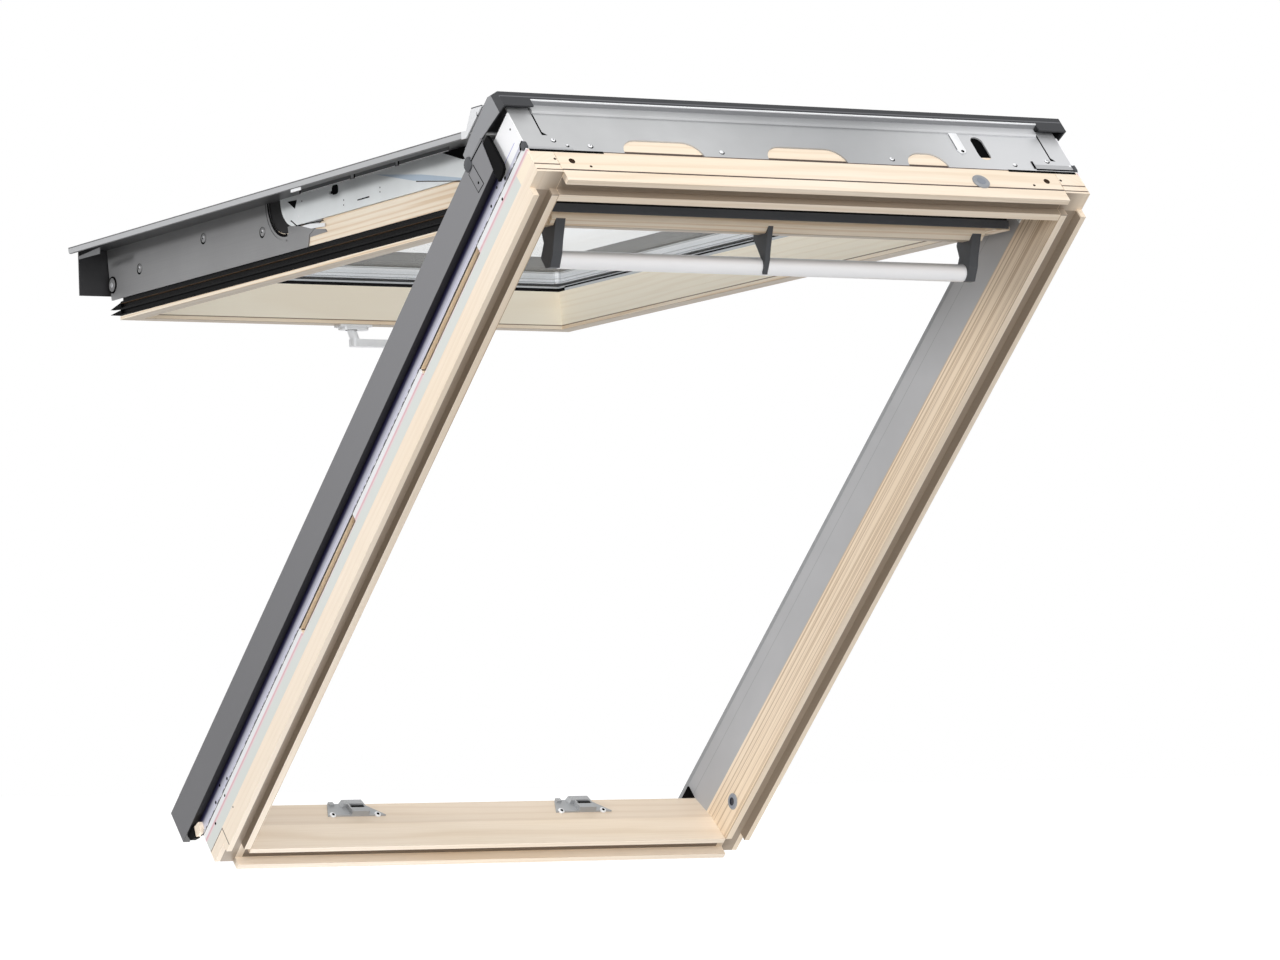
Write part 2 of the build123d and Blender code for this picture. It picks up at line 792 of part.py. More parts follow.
pane_levels = {"inner_pane": seal_out, "outer_pane": seal_out + unit_thickness - pane_thickness}
for name, level in pane_levels.items():
    with BuildPart() as pane:
        with BuildSketch(sash_plane.offset(level)):
            with Locations((0, glass_middle)):
                Rectangle(2 * glass_half, glass_length)
        extrude(amount=pane_thickness)
    keep(pane, name)

with BuildPart() as spacer:
    with BuildSketch(sash_plane.offset(seal_out + pane_thickness)):
        with Locations((0, glass_middle)):
            Rectangle(2 * (glass_half - spacer_inset + spacer_width), glass_length - 2 * (spacer_inset - spacer_width))
            RectangleRounded(
                2 * (glass_half - spacer_inset),
                glass_length - 2 * spacer_inset,
                spacer_width,
                mode=Mode.SUBTRACT,
            )
    extrude(amount=unit_thickness - 2 * pane_thickness)
keep(spacer, "glass_spacer")

# Steel plates on the sash flanks, cut away round the pivot
for side, sign in sides.items():
    with BuildPart() as side_plate:
        with BuildSketch(long_section(sash_plane, sign * sash_flank)):
            outline([
                (plate_end, plate_in),
                (plate_end + plate_slant, sheet_out),
                (pivot_down, sheet_out),
                (pivot_down, plate_shoulder_out),
                (plate_toe_end, plate_shoulder_out),
                (plate_toe_end, arm_in),
                (plate_toe_down, arm_in),
                (plate_top_end, plate_toe_in),
                (plate_top_end + sash_lip, plate_in),
            ])
            with Locations((pivot_down, pivot_out)):
                Circle(recess_radius, mode=Mode.SUBTRACT)
        extrude(amount=sign * plate_thickness)
    keep(side_plate, f"{side}_side_plate")

# Aluminium covers round the outside of the sash, the lower ones with a rounded nose
cover_runs = {
    "upper": (sash_cover_top, sash_cover_joint),
    "lower": (sash_cover_joint, sash_cover_end - cover_skin),
}
for side, sign in sides.items():
    for name, (start, end) in cover_runs.items():
        with BuildPart() as cover:
            with BuildSketch(cross_section(sash_plane, start)):
                outline([
                    (sign * cover_half, sash_cover_in),
                    (sign * cover_half, sash_cover_out),
                    (sign * sash_cover_inner, sash_cover_out),
                    (sign * sash_cover_inner, casing_out),
                    (sign * (sash_cover_inner + cover_skin), casing_out),
                    (sign * (sash_cover_inner + cover_skin), sheet_out),
                    (sign * (cover_half - cover_skin), sheet_out),
                    (sign * (cover_half - cover_skin), sash_cover_in),
                ])
            extrude(amount=-(end - start))
            if name == "lower":
                with BuildSketch(long_section(sash_plane, sign * cover_half)):
                    with Locations((end, sash_cover_in)):
                        Rectangle(2 * sash_nose_radius, 2 * sash_nose_radius)
                    with Locations((end - sash_nose_radius, sash_cover_in + sash_nose_radius)):
                        Circle(sash_nose_radius, mode=Mode.SUBTRACT)
                        Rectangle(
                            2 * sash_nose_radius,
                            sash_nose_radius,
                            align=(Align.CENTER, Align.MIN),
                            mode=Mode.SUBTRACT,
                        )
                extrude(amount=-sign * cover_skin, mode=Mode.SUBTRACT)
        keep(cover, f"{side}_{name}_cover")

apron_half = cover_half - apron_setback
glass_edge_cover = glass_bottom - glass_edge_lap
with BuildPart() as sash_bottom_cover:
    with BuildSketch(long_section(sash_plane, -sash_cover_inner)):
        outline([
            (glass_edge_cover, sash_cover_out),
            (sash_cover_end, sash_cover_out),
            (sash_cover_end, sheet_out),
            (glass_edge_cover + cover_skin, sheet_out),
            (glass_edge_cover + cover_skin, casing_out),
            (glass_edge_cover, casing_out),
        ])
    extrude(amount=2 * sash_cover_inner)
    with BuildSketch(long_section(sash_plane, -apron_half)):
        outline([
            (sash_cover_end, sheet_out),
            (sash_cover_end, apron_in),
            (sash_cover_end - cover_skin, apron_in),
            (sash_cover_end - cover_skin, sheet_out),
        ])
    extrude(amount=2 * apron_half)
keep(sash_bottom_cover, "sash_bottom_cover")

# Raised cover across the head of the sash, closed by a cheek at each end
raised_in = raised_cover_out - cover_skin
reach_end = sash_cover_top + top_cover_reach
raised_run = [
    (raised_cover_start, raised_in),
    (raised_cover_start, raised_cover_out),
    (raised_cover_crest, raised_cover_out),
    (raised_cover_foot, sash_cover_out),
]
raised_back = [
    (raised_cover_foot - cover_skin / 2, sheet_out),
    (raised_cover_crest - cover_skin / 2, raised_in),
]
with BuildPart() as sash_top_cover:
    with BuildSketch(long_section(sash_plane, -sash_cover_inner)):
        outline(raised_run + [
            (reach_end, sash_cover_out),
            (reach_end, casing_out),
            (reach_end - cover_skin, casing_out),
            (reach_end - cover_skin, sheet_out),
        ] + raised_back)
    extrude(amount=2 * sash_cover_inner)
    with BuildSketch(long_section(sash_plane, -cover_half)):
        outline(raised_run + [
            (sash_cover_top, sash_cover_out),
            (sash_cover_top, sheet_out),
        ] + raised_back)
    extrude(amount=2 * cover_half)
    for start in (-cover_half, cover_half - cover_skin):
        with BuildSketch(long_section(sash_plane, start)):
            outline([
                (raised_cover_start, raised_in),
                (raised_cover_start, raised_cover_out),
                (raised_cover_crest, raised_cover_out),
                (raised_cover_foot, sash_cover_out),
                (sash_cover_top, sash_cover_out),
                (sash_cover_top, sash_cover_in),
                (raised_cover_foot, sash_cover_in),
            ])
        extrude(amount=cover_skin)
keep(sash_top_cover, "sash_top_cover")

# Dark casing across the head of the sash
casing_half = sash_flank - casing_setback
with BuildPart() as sash_top_casing:
    with BuildSketch(long_section(sash_plane, -casing_half)):
        outline([
            (top_rail_start - cover_skin, top_rail_in + casing_lap),
            (top_rail_start - cover_skin, casing_out + cover_skin),
            (sash_cover_top, casing_out + cover_skin),
            (sash_cover_top, casing_out),
            (top_rail_start, casing_out),
            (top_rail_start, top_rail_in + casing_lap),
        ])
    extrude(amount=2 * casing_half)
keep(sash_top_casing, "sash_top_casing")

# Control bar on three curved brackets, below the top rail; the outer two cap its ends
bracket_places = {"left": -bracket_offset, "middle": bracket_middle_offset, "right": bracket_offset}
bar_front = bar_down - bar_radius
waist_out = bar_in + bracket_waist_rise
bracket_root = [
    (bar_front + bracket_lip, bar_in - bar_radius),
    (bar_front - bracket_lip, bar_in),
    (bar_front - 2 * bracket_lip, bar_in + bar_radius / 2),
    ((top_rail_start + bar_front) / 2, waist_out),
    (top_rail_start + bracket_lip, top_rail_in),
    (top_rail_start, top_rail_in + top_rail_bevel),
    (top_rail_start + top_rail_bevel, top_rail_in),
    (top_rail_end - top_rail_bevel, top_rail_in),
    (top_rail_end, top_rail_in + top_rail_bevel),
    (top_rail_end + bracket_heel, top_rail_in - bracket_heel_drop),
]
open_tip = [
    (bar_down, waist_out),
    (bar_down - 2 * bracket_lip, bar_in + bar_radius + pin_clearance),
]
capped_tip = [
    (bar_down + bracket_heel, waist_out),
    (bar_down + bracket_cap, bar_in + bracket_heel_drop),
    (bar_down + bracket_lip, bar_in - bar_radius),
]
for name, offset in bracket_places.items():
    tip = open_tip if name == "middle" else capped_tip
    with BuildPart() as bracket:
        with BuildSketch(long_section(sash_plane, offset - bracket_widths[name] / 2)):
            outline(bracket_root + tip)
            if name == "middle":
                with Locations((bar_down, bar_in)):
                    Circle(bar_radius + pin_clearance, mode=Mode.SUBTRACT)
        extrude(amount=bracket_widths[name])
    keep(bracket, f"{name}_bar_bracket")

with BuildPart() as control_bar:
    with BuildSketch(long_section(sash_plane, -bar_half)):
        with Locations((bar_down, bar_in)):
            Circle(bar_radius)
    extrude(amount=2 * bar_half)
keep(control_bar, "control_bar")

# Handle under the bottom rail of the sash, its neck leaning into a flat lever
rosette_down = sash_bottom - sash_lip_width / 2
with BuildPart() as handle_base:
    with BuildSketch(sash_plane.offset(sash_in)):
        with Locations((0, rosette_down)):
            RectangleRounded(rosette_length, rosette_width, rosette_flange)
    extrude(amount=-rosette_flange)
    with BuildSketch(sash_plane.offset(sash_in - rosette_flange)):
        with Locations((0, rosette_down)):
            SlotOverall(block_length, block_width)
    extrude(amount=-(rosette_height - rosette_flange))
keep(handle_base, "handle_base")

lever_out = lever_in + lever_thickness
with BuildPart() as handle_lever:
    with BuildSketch(sash_plane.offset(sash_in - rosette_height)):
        with Locations((-neck_lean, rosette_down)):
            Circle(neck_radius)
    with BuildSketch(sash_plane.offset(lever_out - neck_lean)):
        with Locations((neck_lean, rosette_down)):
            Circle(neck_radius)
    loft()
    with BuildSketch(sash_plane.offset(lever_in)):
        with Locations((lever_length / 2 - neck_radius, rosette_down)):
            SlotOverall(lever_length, lever_width)
    extrude(amount=lever_thickness)
keep(handle_lever, "handle_lever")
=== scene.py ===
from math import cos, pi, radians, sin

import bmesh
import bpy
from mathutils import Matrix, Vector


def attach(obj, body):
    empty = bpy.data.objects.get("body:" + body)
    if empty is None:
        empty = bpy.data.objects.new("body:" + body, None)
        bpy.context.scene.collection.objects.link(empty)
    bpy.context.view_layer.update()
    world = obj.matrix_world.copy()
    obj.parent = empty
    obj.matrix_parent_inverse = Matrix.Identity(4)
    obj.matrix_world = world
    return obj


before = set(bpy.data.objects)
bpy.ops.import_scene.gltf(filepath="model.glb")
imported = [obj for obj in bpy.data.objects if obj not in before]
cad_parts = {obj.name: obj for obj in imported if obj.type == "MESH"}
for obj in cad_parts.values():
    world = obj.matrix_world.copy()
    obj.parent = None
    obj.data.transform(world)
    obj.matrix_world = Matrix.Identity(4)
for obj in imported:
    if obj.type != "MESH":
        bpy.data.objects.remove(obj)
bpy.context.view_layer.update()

# The frame slopes at 45 degrees; the sash turns by 40.6 degrees about the hinge line.
# Pieces are placed by x (right seen from the room), d (down the slope) and w (outward), in millimetres.
slope = {"pitch": 45, "opening": 40.6, "hingeDown": 78, "hingeOut": 128, "fixingLine": 20}

outWay = Vector((0, sin(radians(slope["pitch"])), cos(radians(slope["pitch"]))))
downWay = Vector((0, cos(radians(slope["pitch"])), -sin(radians(slope["pitch"]))))
swing = radians(slope["opening"])
openOut = outWay * cos(swing) - downWay * sin(swing)
openDown = downWay * cos(swing) + outWay * sin(swing)


def inFrame(x, d, w):
    return (Vector((x, 0, 0)) + downWay * d + outWay * (w - slope["fixingLine"])) / 1000


def inSash(x, d, w):
    reach = openDown * (d - slope["hingeDown"]) + openOut * (w - slope["hingeOut"])
    return inFrame(x, slope["hingeDown"], slope["hingeOut"]) + reach / 1000


places = {"frame": (inFrame, downWay, outWay), "sash": (inSash, openDown, openOut)}
sides = {"left": -1, "right": 1}


def tint(r, g, b):
    # 0-255 screen colour to the linear colour that the shader takes
    return tuple(c / 255 / 12.92 if c <= 10 else ((c / 255 + 0.055) / 1.055) ** 2.4 for c in (r, g, b))


# shader helpers


class Wire:
    # an output socket that Python's operators turn into Math nodes
    def __init__(self, finish, socket):
        self.finish, self.socket = finish, socket

    def maths(self, operation, *values):
        return self.finish.node("ShaderNodeMath", {"operation": operation}, dict(enumerate(values)))

    def __add__(self, other):
        return self.maths("ADD", self, other)

    def __radd__(self, other):
        return self.maths("ADD", other, self)

    def __sub__(self, other):
        return self.maths("SUBTRACT", self, other)

    def __rsub__(self, other):
        return self.maths("SUBTRACT", other, self)

    def __mul__(self, other):
        return self.maths("MULTIPLY", self, other)

    def __rmul__(self, other):
        return self.maths("MULTIPLY", other, self)

    def __pow__(self, other):
        return self.maths("POWER", self, other)

    def __abs__(self):
        return self.maths("ABSOLUTE", self)

    def __gt__(self, other):
        return self.maths("GREATER_THAN", self, other)

    def __lt__(self, other):
        return self.maths("LESS_THAN", self, other)

    def least(self, other):
        return self.maths("MINIMUM", self, other)

    def most(self, other):
        return self.maths("MAXIMUM", self, other)

    def wave(self):
        return self.maths("SINE", self) * 0.5 + 0.5

    def root(self):
        return self.maths("SQRT", self)

    def ramp(self, low, high):
        # 0 below low, 1 above high, smooth between
        settings = {"interpolation_type": "SMOOTHSTEP"}
        return self.finish.node("ShaderNodeMapRange", settings, {0: self, 1: low, 2: high, 3: 0.0, 4: 1.0})

    def band(self, low, high, edge=0.0003):
        # 1 between low and high, with soft edges
        return self.ramp(low - edge, low + edge) * (1 - self.ramp(high - edge, high + edge))

    def within(self, low, high):
        # 1 between low and high, with hard edges
        return (self > low) * (self < high)


class Finish:
    # one material and its nodes; spot is the object's own coordinates in metres
    def __init__(self, name):
        self.material = bpy.data.materials.new(name)
        self.material.use_nodes = True
        self.tree = self.material.node_tree
        self.tree.nodes.clear()
        self.output = self.tree.nodes.new("ShaderNodeOutputMaterial")
        self.spot = self.node("ShaderNodeTexCoord", {}, {}, "Object")

    def node(self, kind, settings, inputs, output=0):
        made = self.tree.nodes.new(kind)
        for key, value in settings.items():
            setattr(made, key, value)
        for key, value in inputs.items():
            self.put(made.inputs[key], value)
        return Wire(self, made.outputs[output])

    def put(self, socket, value):
        if isinstance(value, Wire):
            self.tree.links.new(value.socket, socket)
        elif socket.type == "RGBA":
            socket.default_value = (*value, 1)
        else:
            socket.default_value = value

    def dot(self, first, second):
        settings = {"operation": "DOT_PRODUCT"}
        return self.node("ShaderNodeVectorMath", settings, {0: first, 1: second}, "Value")

    def axes(self, place):
        # metres along x, down the slope and outward, in the frame's or the sash's own terms
        start, down, out = places[place]
        zero = start(0, 0, 0)
        return (self.dot(self.spot, (1, 0, 0)),
                self.dot(self.spot, down) - zero.dot(down),
                self.dot(self.spot, out) - zero.dot(out))

    def point(self, x, y, z):
        return self.node("ShaderNodeCombineXYZ", {}, {0: x, 1: y, 2: z})

    def noise(self, vector, scale=1.0, detail=2.0, roughness=0.5):
        inputs = {"Vector": vector, "Scale": scale, "Detail": detail, "Roughness": roughness}
        return self.node("ShaderNodeTexNoise", {}, inputs, "Fac")

    def mix(self, factor, first, second):
        # sockets 6 and 7 are the two colours, output 2 the mixed one
        return self.node("ShaderNodeMix", {"data_type": "RGBA"}, {0: factor, 6: first, 7: second}, 2)

    def bump(self, height, depth, strength):
        return self.node("ShaderNodeBump", {}, {"Height": height, "Distance": depth, "Strength": strength})

    def end(self, **inputs):
        names = {key.replace("_", " "): value for key, value in inputs.items()}
        surface = self.node("ShaderNodeBsdfPrincipled", {}, names)
        self.tree.links.new(surface.socket, self.output.inputs["Surface"])
        return self.material


# finishes

woodLook = {
    "light": tint(249, 234, 215), "streak": tint(216, 190, 158), "warm": tint(244, 225, 199),
    "ringPeriod": 0.0072, "wander": 0.024, "lacquer": 0.25, "roughness": 0.48, "contrast": 0.8,
    "pith": (0.30, 0.09), "pithShift": 0.013,  # across and inward of the section, and shifted by the seed
    "slow": (1.6, 6), "quick": (9, 30), "fine": (14, 900), "patches": (3, 12),  # noise along and across
    "ripple": 0.0016, "spacing": (130, 0.5), "spread": 0.012,
}
stileLook = {**woodLook, "contrast": 0.4}
sashLook = {**woodLook, "light": tint(253, 241, 222), "streak": tint(214, 176, 130), "contrast": 1.5}


def pine(name, place, run, seed=0.0, look=woodLook, marks=None):
    # lacquered pine: rings about a pith outside the section, wavering slowly along the grain
    f = Finish(name)
    x, d, w = f.axes(place)
    along, across = (d, x) if run == "down" else (x, d)

    def grain(name, detail, roughness=0.5):
        lengthwise, crosswise = look[name]
        spot = f.point(along * lengthwise + seed, across * crosswise, w * crosswise)
        return f.noise(spot, 1.0, detail, roughness)

    offset = abs(across) if run == "down" else across
    pithAcross, pithOut = offset - look["pith"][0] + seed * look["pithShift"], w + look["pith"][1]
    radius = (pithAcross * pithAcross + pithOut * pithOut).root()
    outward, onward = look["spacing"]
    spacing = f.noise(f.point(radius * outward + seed, along * onward, 0), 1.0, 2, 0.6)
    wavering = radius + grain("slow", 2) * look["wander"] + grain("quick", 2) * look["ripple"]
    wavering = wavering + spacing * look["spread"]
    rings = (wavering * (2 * pi / look["ringPeriod"])).wave()
    fine, patches = grain("fine", 2, 0.6), grain("patches", 1)
    late = (rings ** 2.4 * (0.25 + patches * 0.75) * look["contrast"]).least(1)
    ground = f.mix(patches.ramp(0.35, 0.7) * 0.55, look["light"], look["warm"])
    streaked = f.mix(late * 0.55, ground, look["streak"])
    colour = f.mix((fine - 0.35).most(0) * 0.5, streaked, look["streak"])
    if marks:
        colour = marks(f, x, d, w, colour)
    return f.end(Base_Color=colour, Roughness=look["roughness"] + fine * 0.1, Coat_Weight=look["lacquer"],
                 Coat_Roughness=0.3, Normal=f.bump(fine * 0.4 + late, 0.00025, 0.5))


def metal(name, colour, roughness, metallic=0.0, grain=0.0, mottle=0.06, place="frame", run="down",
          marks=None, shine=0.5):
    # painted, rolled or plated sheet: slight cloudiness, and rolling lines where grain is above 0
    f = Finish(name)
    x, d, w = f.axes(place)
    along, across = (d, x) if run == "down" else (x, d)
    cloud = f.noise(f.spot, 14.0, 3)
    lines = f.noise(f.point(along * 6, across * 1400, w * 1400), 1.0, 2, 0.6)
    dark = tuple(c * (1 - 3 * mottle) for c in colour)
    shade = f.mix(cloud.ramp(0.3, 0.75), dark, colour)
    tone = f.mix(abs(lines - 0.5) * (2 * grain), shade, dark)
    if marks:
        tone = marks(f, x, d, w, tone)
    rough = roughness + (cloud - 0.5) * 0.12 + (lines - 0.5) * (0.3 * grain)
    return f.end(Base_Color=tone, Roughness=rough, Metallic=metallic, Specular_IOR_Level=shine,
                 Normal=f.bump(lines * grain + cloud * 0.3, 0.0001, 0.4))


def grained(name, colour, roughness, size=900.0, depth=0.00008, marks=None, shine=0.35):
    # moulded plastic or rubber with a fine even grain
    f = Finish(name)
    speck = f.noise(f.spot, size, 2)
    cloud = f.noise(f.spot, 20.0, 2)
    tone = f.mix(cloud, tuple(c * 0.75 for c in colour), colour)
    if marks:
        tone = marks(f, *f.axes("frame"), tone)
    return f.end(Base_Color=tone, Roughness=roughness + (speck - 0.5) * 0.15, Specular_IOR_Level=shine,
                 Normal=f.bump(speck, depth, 0.5))


def clearGlass(name):
    f = Finish(name)
    haze = f.noise(f.spot, 30.0, 2)
    clear = f.node("ShaderNodeBsdfTransparent", {}, {"Color": (0.99, 0.994, 0.996)})
    gloss = f.node("ShaderNodeBsdfPrincipled", {}, {
        "Base Color": (0.95, 0.97, 0.98), "Roughness": 0.02 + haze * 0.02, "Specular IOR Level": 0.6})
    facing = f.node("ShaderNodeFresnel", {}, {"IOR": 1.5})
    blend = f.node("ShaderNodeMixShader", {}, {0: facing * 0.14 + 0.01, 1: clear, 2: gloss})
    f.tree.links.new(blend.socket, f.output.inputs["Surface"])
    return f.material


# marks that belong to one surface, in metres along x, d and w

thinEdge, softEdge = 0.0001, 0.0002  # half the width of a painted edge
openings = ((0.160, 0.359), (0.603, 0.802))  # windows along the flank sheet, down the slope


def inOpenings(d):
    return d.band(*openings[0], 0.0005).most(d.band(*openings[1], 0.0005))


railFace = {
    "flank": 0.0006, "line": (0.0036, 0.0060), "lineTone": tint(60, 40, 28),
    "windowDepth": 0.0045, "steps": ((0.0374, 0.0396), (0.0412, 0.0436)),
    "groove": (0.0074, 0.0262), "grooveOut": (-0.0138, 0.0007), "grooveShade": tint(136, 119, 102),
    "foot": (1.1526, 1.1698), "footOut": (-0.0009, 0.0007), "footShade": tint(104, 88, 72),
    "slopeDown": 1.14, "slopeOut": (0.0345, 0.0819), "slopeShade": tint(206, 186, 166),
}


def railFaceMarks(f, x, d, w, colour):
    # shadow lines on the top flank and in the windows, grooves darkened with painted shade, and the bottom
    # rail's upper slope dulled with painted shade
    s = railFace
    line = w.band(*s["line"], thinEdge) * (d < s["flank"])
    steps = w.band(*s["steps"][0], thinEdge).most(w.band(*s["steps"][1], thinEdge)) * (d < s["windowDepth"])
    # painted shade in the grooves along the rails and at the foot
    groove = d.band(*s["groove"], softEdge) * w.within(*s["grooveOut"])
    foot = d.band(*s["foot"], softEdge) * w.within(*s["footOut"])
    shaded = f.mix(foot * 0.9, f.mix(groove * 0.8, colour, s["grooveShade"]), s["footShade"])
    lined = f.mix(line.most(steps), shaded, s["lineTone"])
    # painted shade on the upper slope of the bottom rail
    return f.mix((d > s["slopeDown"]) * w.within(*s["slopeOut"]) * 0.3, lined, s["slopeShade"])


stileFace = {
    "jamb": 0.3552, "jambTone": tint(220, 194, 160),
    "stripes": (1.1, 40, 420), "stripeEdge": (0.46, 0.60), "stripeTone": tint(178, 148, 114),
    "groove": (0.3638, 0.3827), "grooveOut": (-0.0138, 0.0007), "grooveDown": (0.028, 1.2),
    "block": (0.352, 0.392), "blockInner": 0.3545, "grooveShade": tint(132, 115, 98),
    "recess": 0.376, "recessOut": (0.0338, 0.0472), "recessLight": tint(250, 234, 210),
    "slot": (0.365, 0.3888), "slotOut": (0.0428, 0.0458), "slotShade": tint(78, 64, 50),
    "flank": 0.0006, "joints": ((0.0126, 0.0145), (0.0032, 0.0050)), "jointReach": (0.3515, 0.3893),
    "upright": (0.3506, 0.3523), "uprightOut": (0.0045, 0.0143),
    "side": 0.3895, "footTop": (1.1322, 1.1338), "footOut": (-0.0125, 0.0165), "footLine": (0.0155, 0.0168),
    "footDown": 1.1325, "jointTone": tint(84, 60, 44),
}


def stileMarks(f, x, d, w, colour):
    # straight brown grain on the jamb, joint lines on the top end, outline of the corner joint at the foot
    s, across = stileFace, abs(x)
    alongD, alongX, alongW = s["stripes"]
    stripes = f.noise(f.point(d * alongD, x * alongX, w * alongW), 1.0, 3, 0.65).ramp(*s["stripeEdge"])
    toned = f.mix((across < s["jamb"]) * 0.35, colour, s["jambTone"])
    striped = f.mix(stripes * (across < s["jamb"]) * 0.75, toned, s["stripeTone"])
    # the recesses behind the flank openings are painted plain pale wood, painted light against their shade
    recess = inOpenings(d) * (across > s["recess"]) * w.within(*s["recessOut"])
    opened = f.mix(recess * 0.9, striped, s["recessLight"])
    # painted shade in the grooves, and a painted shade gradient across the corner block
    groove = across.band(*s["groove"], softEdge) * w.within(*s["grooveOut"]) * d.band(*s["grooveDown"])
    block = (d < s["grooveDown"][0]) * (w < s["grooveOut"][1]) * (1 - across.ramp(*s["block"]))
    shaded = f.mix(groove.most(block * (across > s["blockInner"])) * 0.8, opened, s["grooveShade"])
    # a dark line of painted shade inside the slots
    slot = across.band(*s["slot"], softEdge) * w.band(*s["slotOut"], 2 * softEdge)
    slotted = f.mix(slot * 0.9, shaded, s["slotShade"])
    inner, outer = s["jointReach"]
    joints = w.band(*s["joints"][0], thinEdge).most(w.band(*s["joints"][1], thinEdge)) * (across > inner)
    upright = across.band(*s["upright"], thinEdge) * w.band(*s["uprightOut"], thinEdge)
    top = joints.most(upright) * (d < s["flank"]) * (across < outer)
    outline = d.band(*s["footTop"], thinEdge) * w.band(*s["footOut"], thinEdge)
    foot = outline.most(w.band(*s["footLine"], thinEdge) * (d > s["footDown"])) * (across > s["side"])
    return f.mix(top.most(foot), slotted, s["jointTone"])


flankFace = {
    "wood": tint(250, 236, 214), "coat": tint(218, 221, 217), "coatEdge": (0.010, 0.017), "coatDown": 0.0375,
    "stripOut": 0.0345, "blush": (0.0325, 0.0385), "blushTone": tint(236, 208, 212),
    "thread": (0.0348, 0.0376), "threadTone": tint(208, 132, 146),
    "lilac": (0.0475, 0.0482), "lilacTone": tint(206, 206, 220),
    "edge": (0.0458, 0.0470), "notch": 0.0013, "smooth": 0.0004, "edgeDown": 0.009,
    "edgeTone": tint(24, 23, 26),
}


def flankMarks(f, x, d, w, colour):
    # coated strips along the flank: pale, a red thread, white, a notched dark edge and a lilac fold
    s, beside = flankFace, inOpenings(d)
    ragged = f.noise(f.point(d * 90, 0, 0), 1.0, 2, 0.6).ramp(0.42, 0.56)
    notch = ragged * (1 - beside) * s["notch"] + beside * s["smooth"]
    strip = f.mix(w.ramp(*s["coatEdge"]) * (d > s["coatDown"]), s["wood"], s["coat"])
    pale = f.mix(w < s["stripOut"], colour, strip)
    blushed = f.mix(w.band(*s["blush"], 0.0012) * 0.6, pale, s["blushTone"])
    red = f.mix(w.band(*s["thread"], 0.0006) * 0.55, blushed, s["threadTone"])
    lilac = f.mix(w.ramp(*s["lilac"]), red, s["lilacTone"])
    low, high = s["edge"]
    return f.mix((w > low) * (w < high + notch) * (d > s["edgeDown"]) * 0.95, lilac, s["edgeTone"])


railSide = {
    "head": (0.056, 0.062), "headTone": tint(250, 250, 252),
    "thread": (0.0640, 0.0650), "threadDown": (0.0135, 0.054), "threadTone": tint(112, 116, 205),
    "shade": (0.0545, 0.0625), "shadeTone": tint(30, 28, 62),
}


def railMarks(f, x, d, w, colour):
    # white where the head seal covers the rail, then lilac grey with a painted shadow that darkens to navy
    # under the cover
    s = railSide
    thread = w.band(*s["thread"], softEdge) * d.band(*s["threadDown"], 2 * softEdge)
    shade = f.mix(w.ramp(*s["shade"]), colour, s["shadeTone"])
    bright = f.mix(1 - d.ramp(*s["head"]), shade, s["headTone"])
    return f.mix(thread * 0.8, bright, s["threadTone"])


coverFace = {
    "length": (-0.2, 1.15), "upper": tint(129, 129, 132), "lower": tint(88, 88, 91),
    "underside": (0.0662, 0.0670), "undersideShade": tint(10, 10, 14),
    "reveal": 0.3585, "revealTone": tint(150, 151, 153),
}


def underCover(f, x, d, w, colour):
    # the return along the cover's inner edge is painted nearly black, painted shade under the cover; its edge
    # by the reveal is grey
    s = coverFace
    # painted fall of light: the cover a little lighter at the top and darker towards the foot
    paintedFalloff = f.mix(0.25, f.mix(d.ramp(*s["length"]), s["upper"], s["lower"]), colour)
    dark = f.mix(w.ramp(*s["underside"]), s["undersideShade"], paintedFalloff)
    return f.mix(abs(x) < s["reveal"], dark, s["revealTone"])


flangeFace = {
    "outer": 0.3994, "foot": 1.189, "foldShadeAndGlint": tint(46, 46, 48), "flangeTone": tint(176, 177, 179),
    "lines": ((0.1484, 0.1497), (0.1409, 0.1420)), "end": (0.0925, 0.0950), "topOut": 0.1498,
    "lineTone": tint(40, 40, 42),
}


def flangeMarks(f, x, d, w, colour):
    # outer flange of the sash covers in pale grey; the folds and undersides behind it are painted dark,
    # painted shade; a dark edge line
    s = flangeFace
    outer = (abs(x) > s["outer"]) * (d < s["foot"])
    # painted shade on the folds and undersides inside the outer flange
    pale = f.mix(outer, s["foldShadeAndGlint"], s["flangeTone"])
    upper, lower = s["lines"]
    end = d.band(*s["end"], thinEdge) * (w < upper[1])
    lines = w.band(*upper, thinEdge).most(w.band(*lower, thinEdge)).most(end)
    top = f.mix(w > s["topOut"], pale, colour)
    return f.mix(lines * outer * 0.85, top, s["lineTone"])


hoodFace = {
    "lipOut": 0.1154, "corner": 0.3586, "lipDown": 0.0005, "front": -0.0104, "rear": (-0.0040, -0.0016),
    "zinc": tint(150, 151, 154), "zincHighlight": tint(250, 251, 253),
    "fold": (0.1184, 0.1200), "foldDown": -0.0105, "foldShadeAndGlint": tint(126, 127, 131),
    "cheek": 0.3980, "cheekDown": 0.002, "cheekTone": tint(146, 147, 150),
}


def hoodMarks(f, x, d, w, colour):
    # paler cheeks, a painted highlight along the fold at the front, bare zinc on the under-face of the lip
    # with painted highlights along its edges
    s, across = hoodFace, abs(x)
    under = (w < s["lipOut"]) * (across < s["corner"]) * (d < s["lipDown"])
    # painted highlights along the edges of the lip's under-face
    bright = (d < s["front"]).most(d.band(*s["rear"], softEdge))
    lip = f.mix(under, colour, f.mix(bright, s["zinc"], s["zincHighlight"]))
    # painted highlight along the fold
    fold = f.mix(w.band(*s["fold"], softEdge) * (d < s["foldDown"]) * 0.6, lip, s["foldShadeAndGlint"])
    return f.mix((across > s["cheek"]) * (d > s["cheekDown"]), fold, s["cheekTone"])


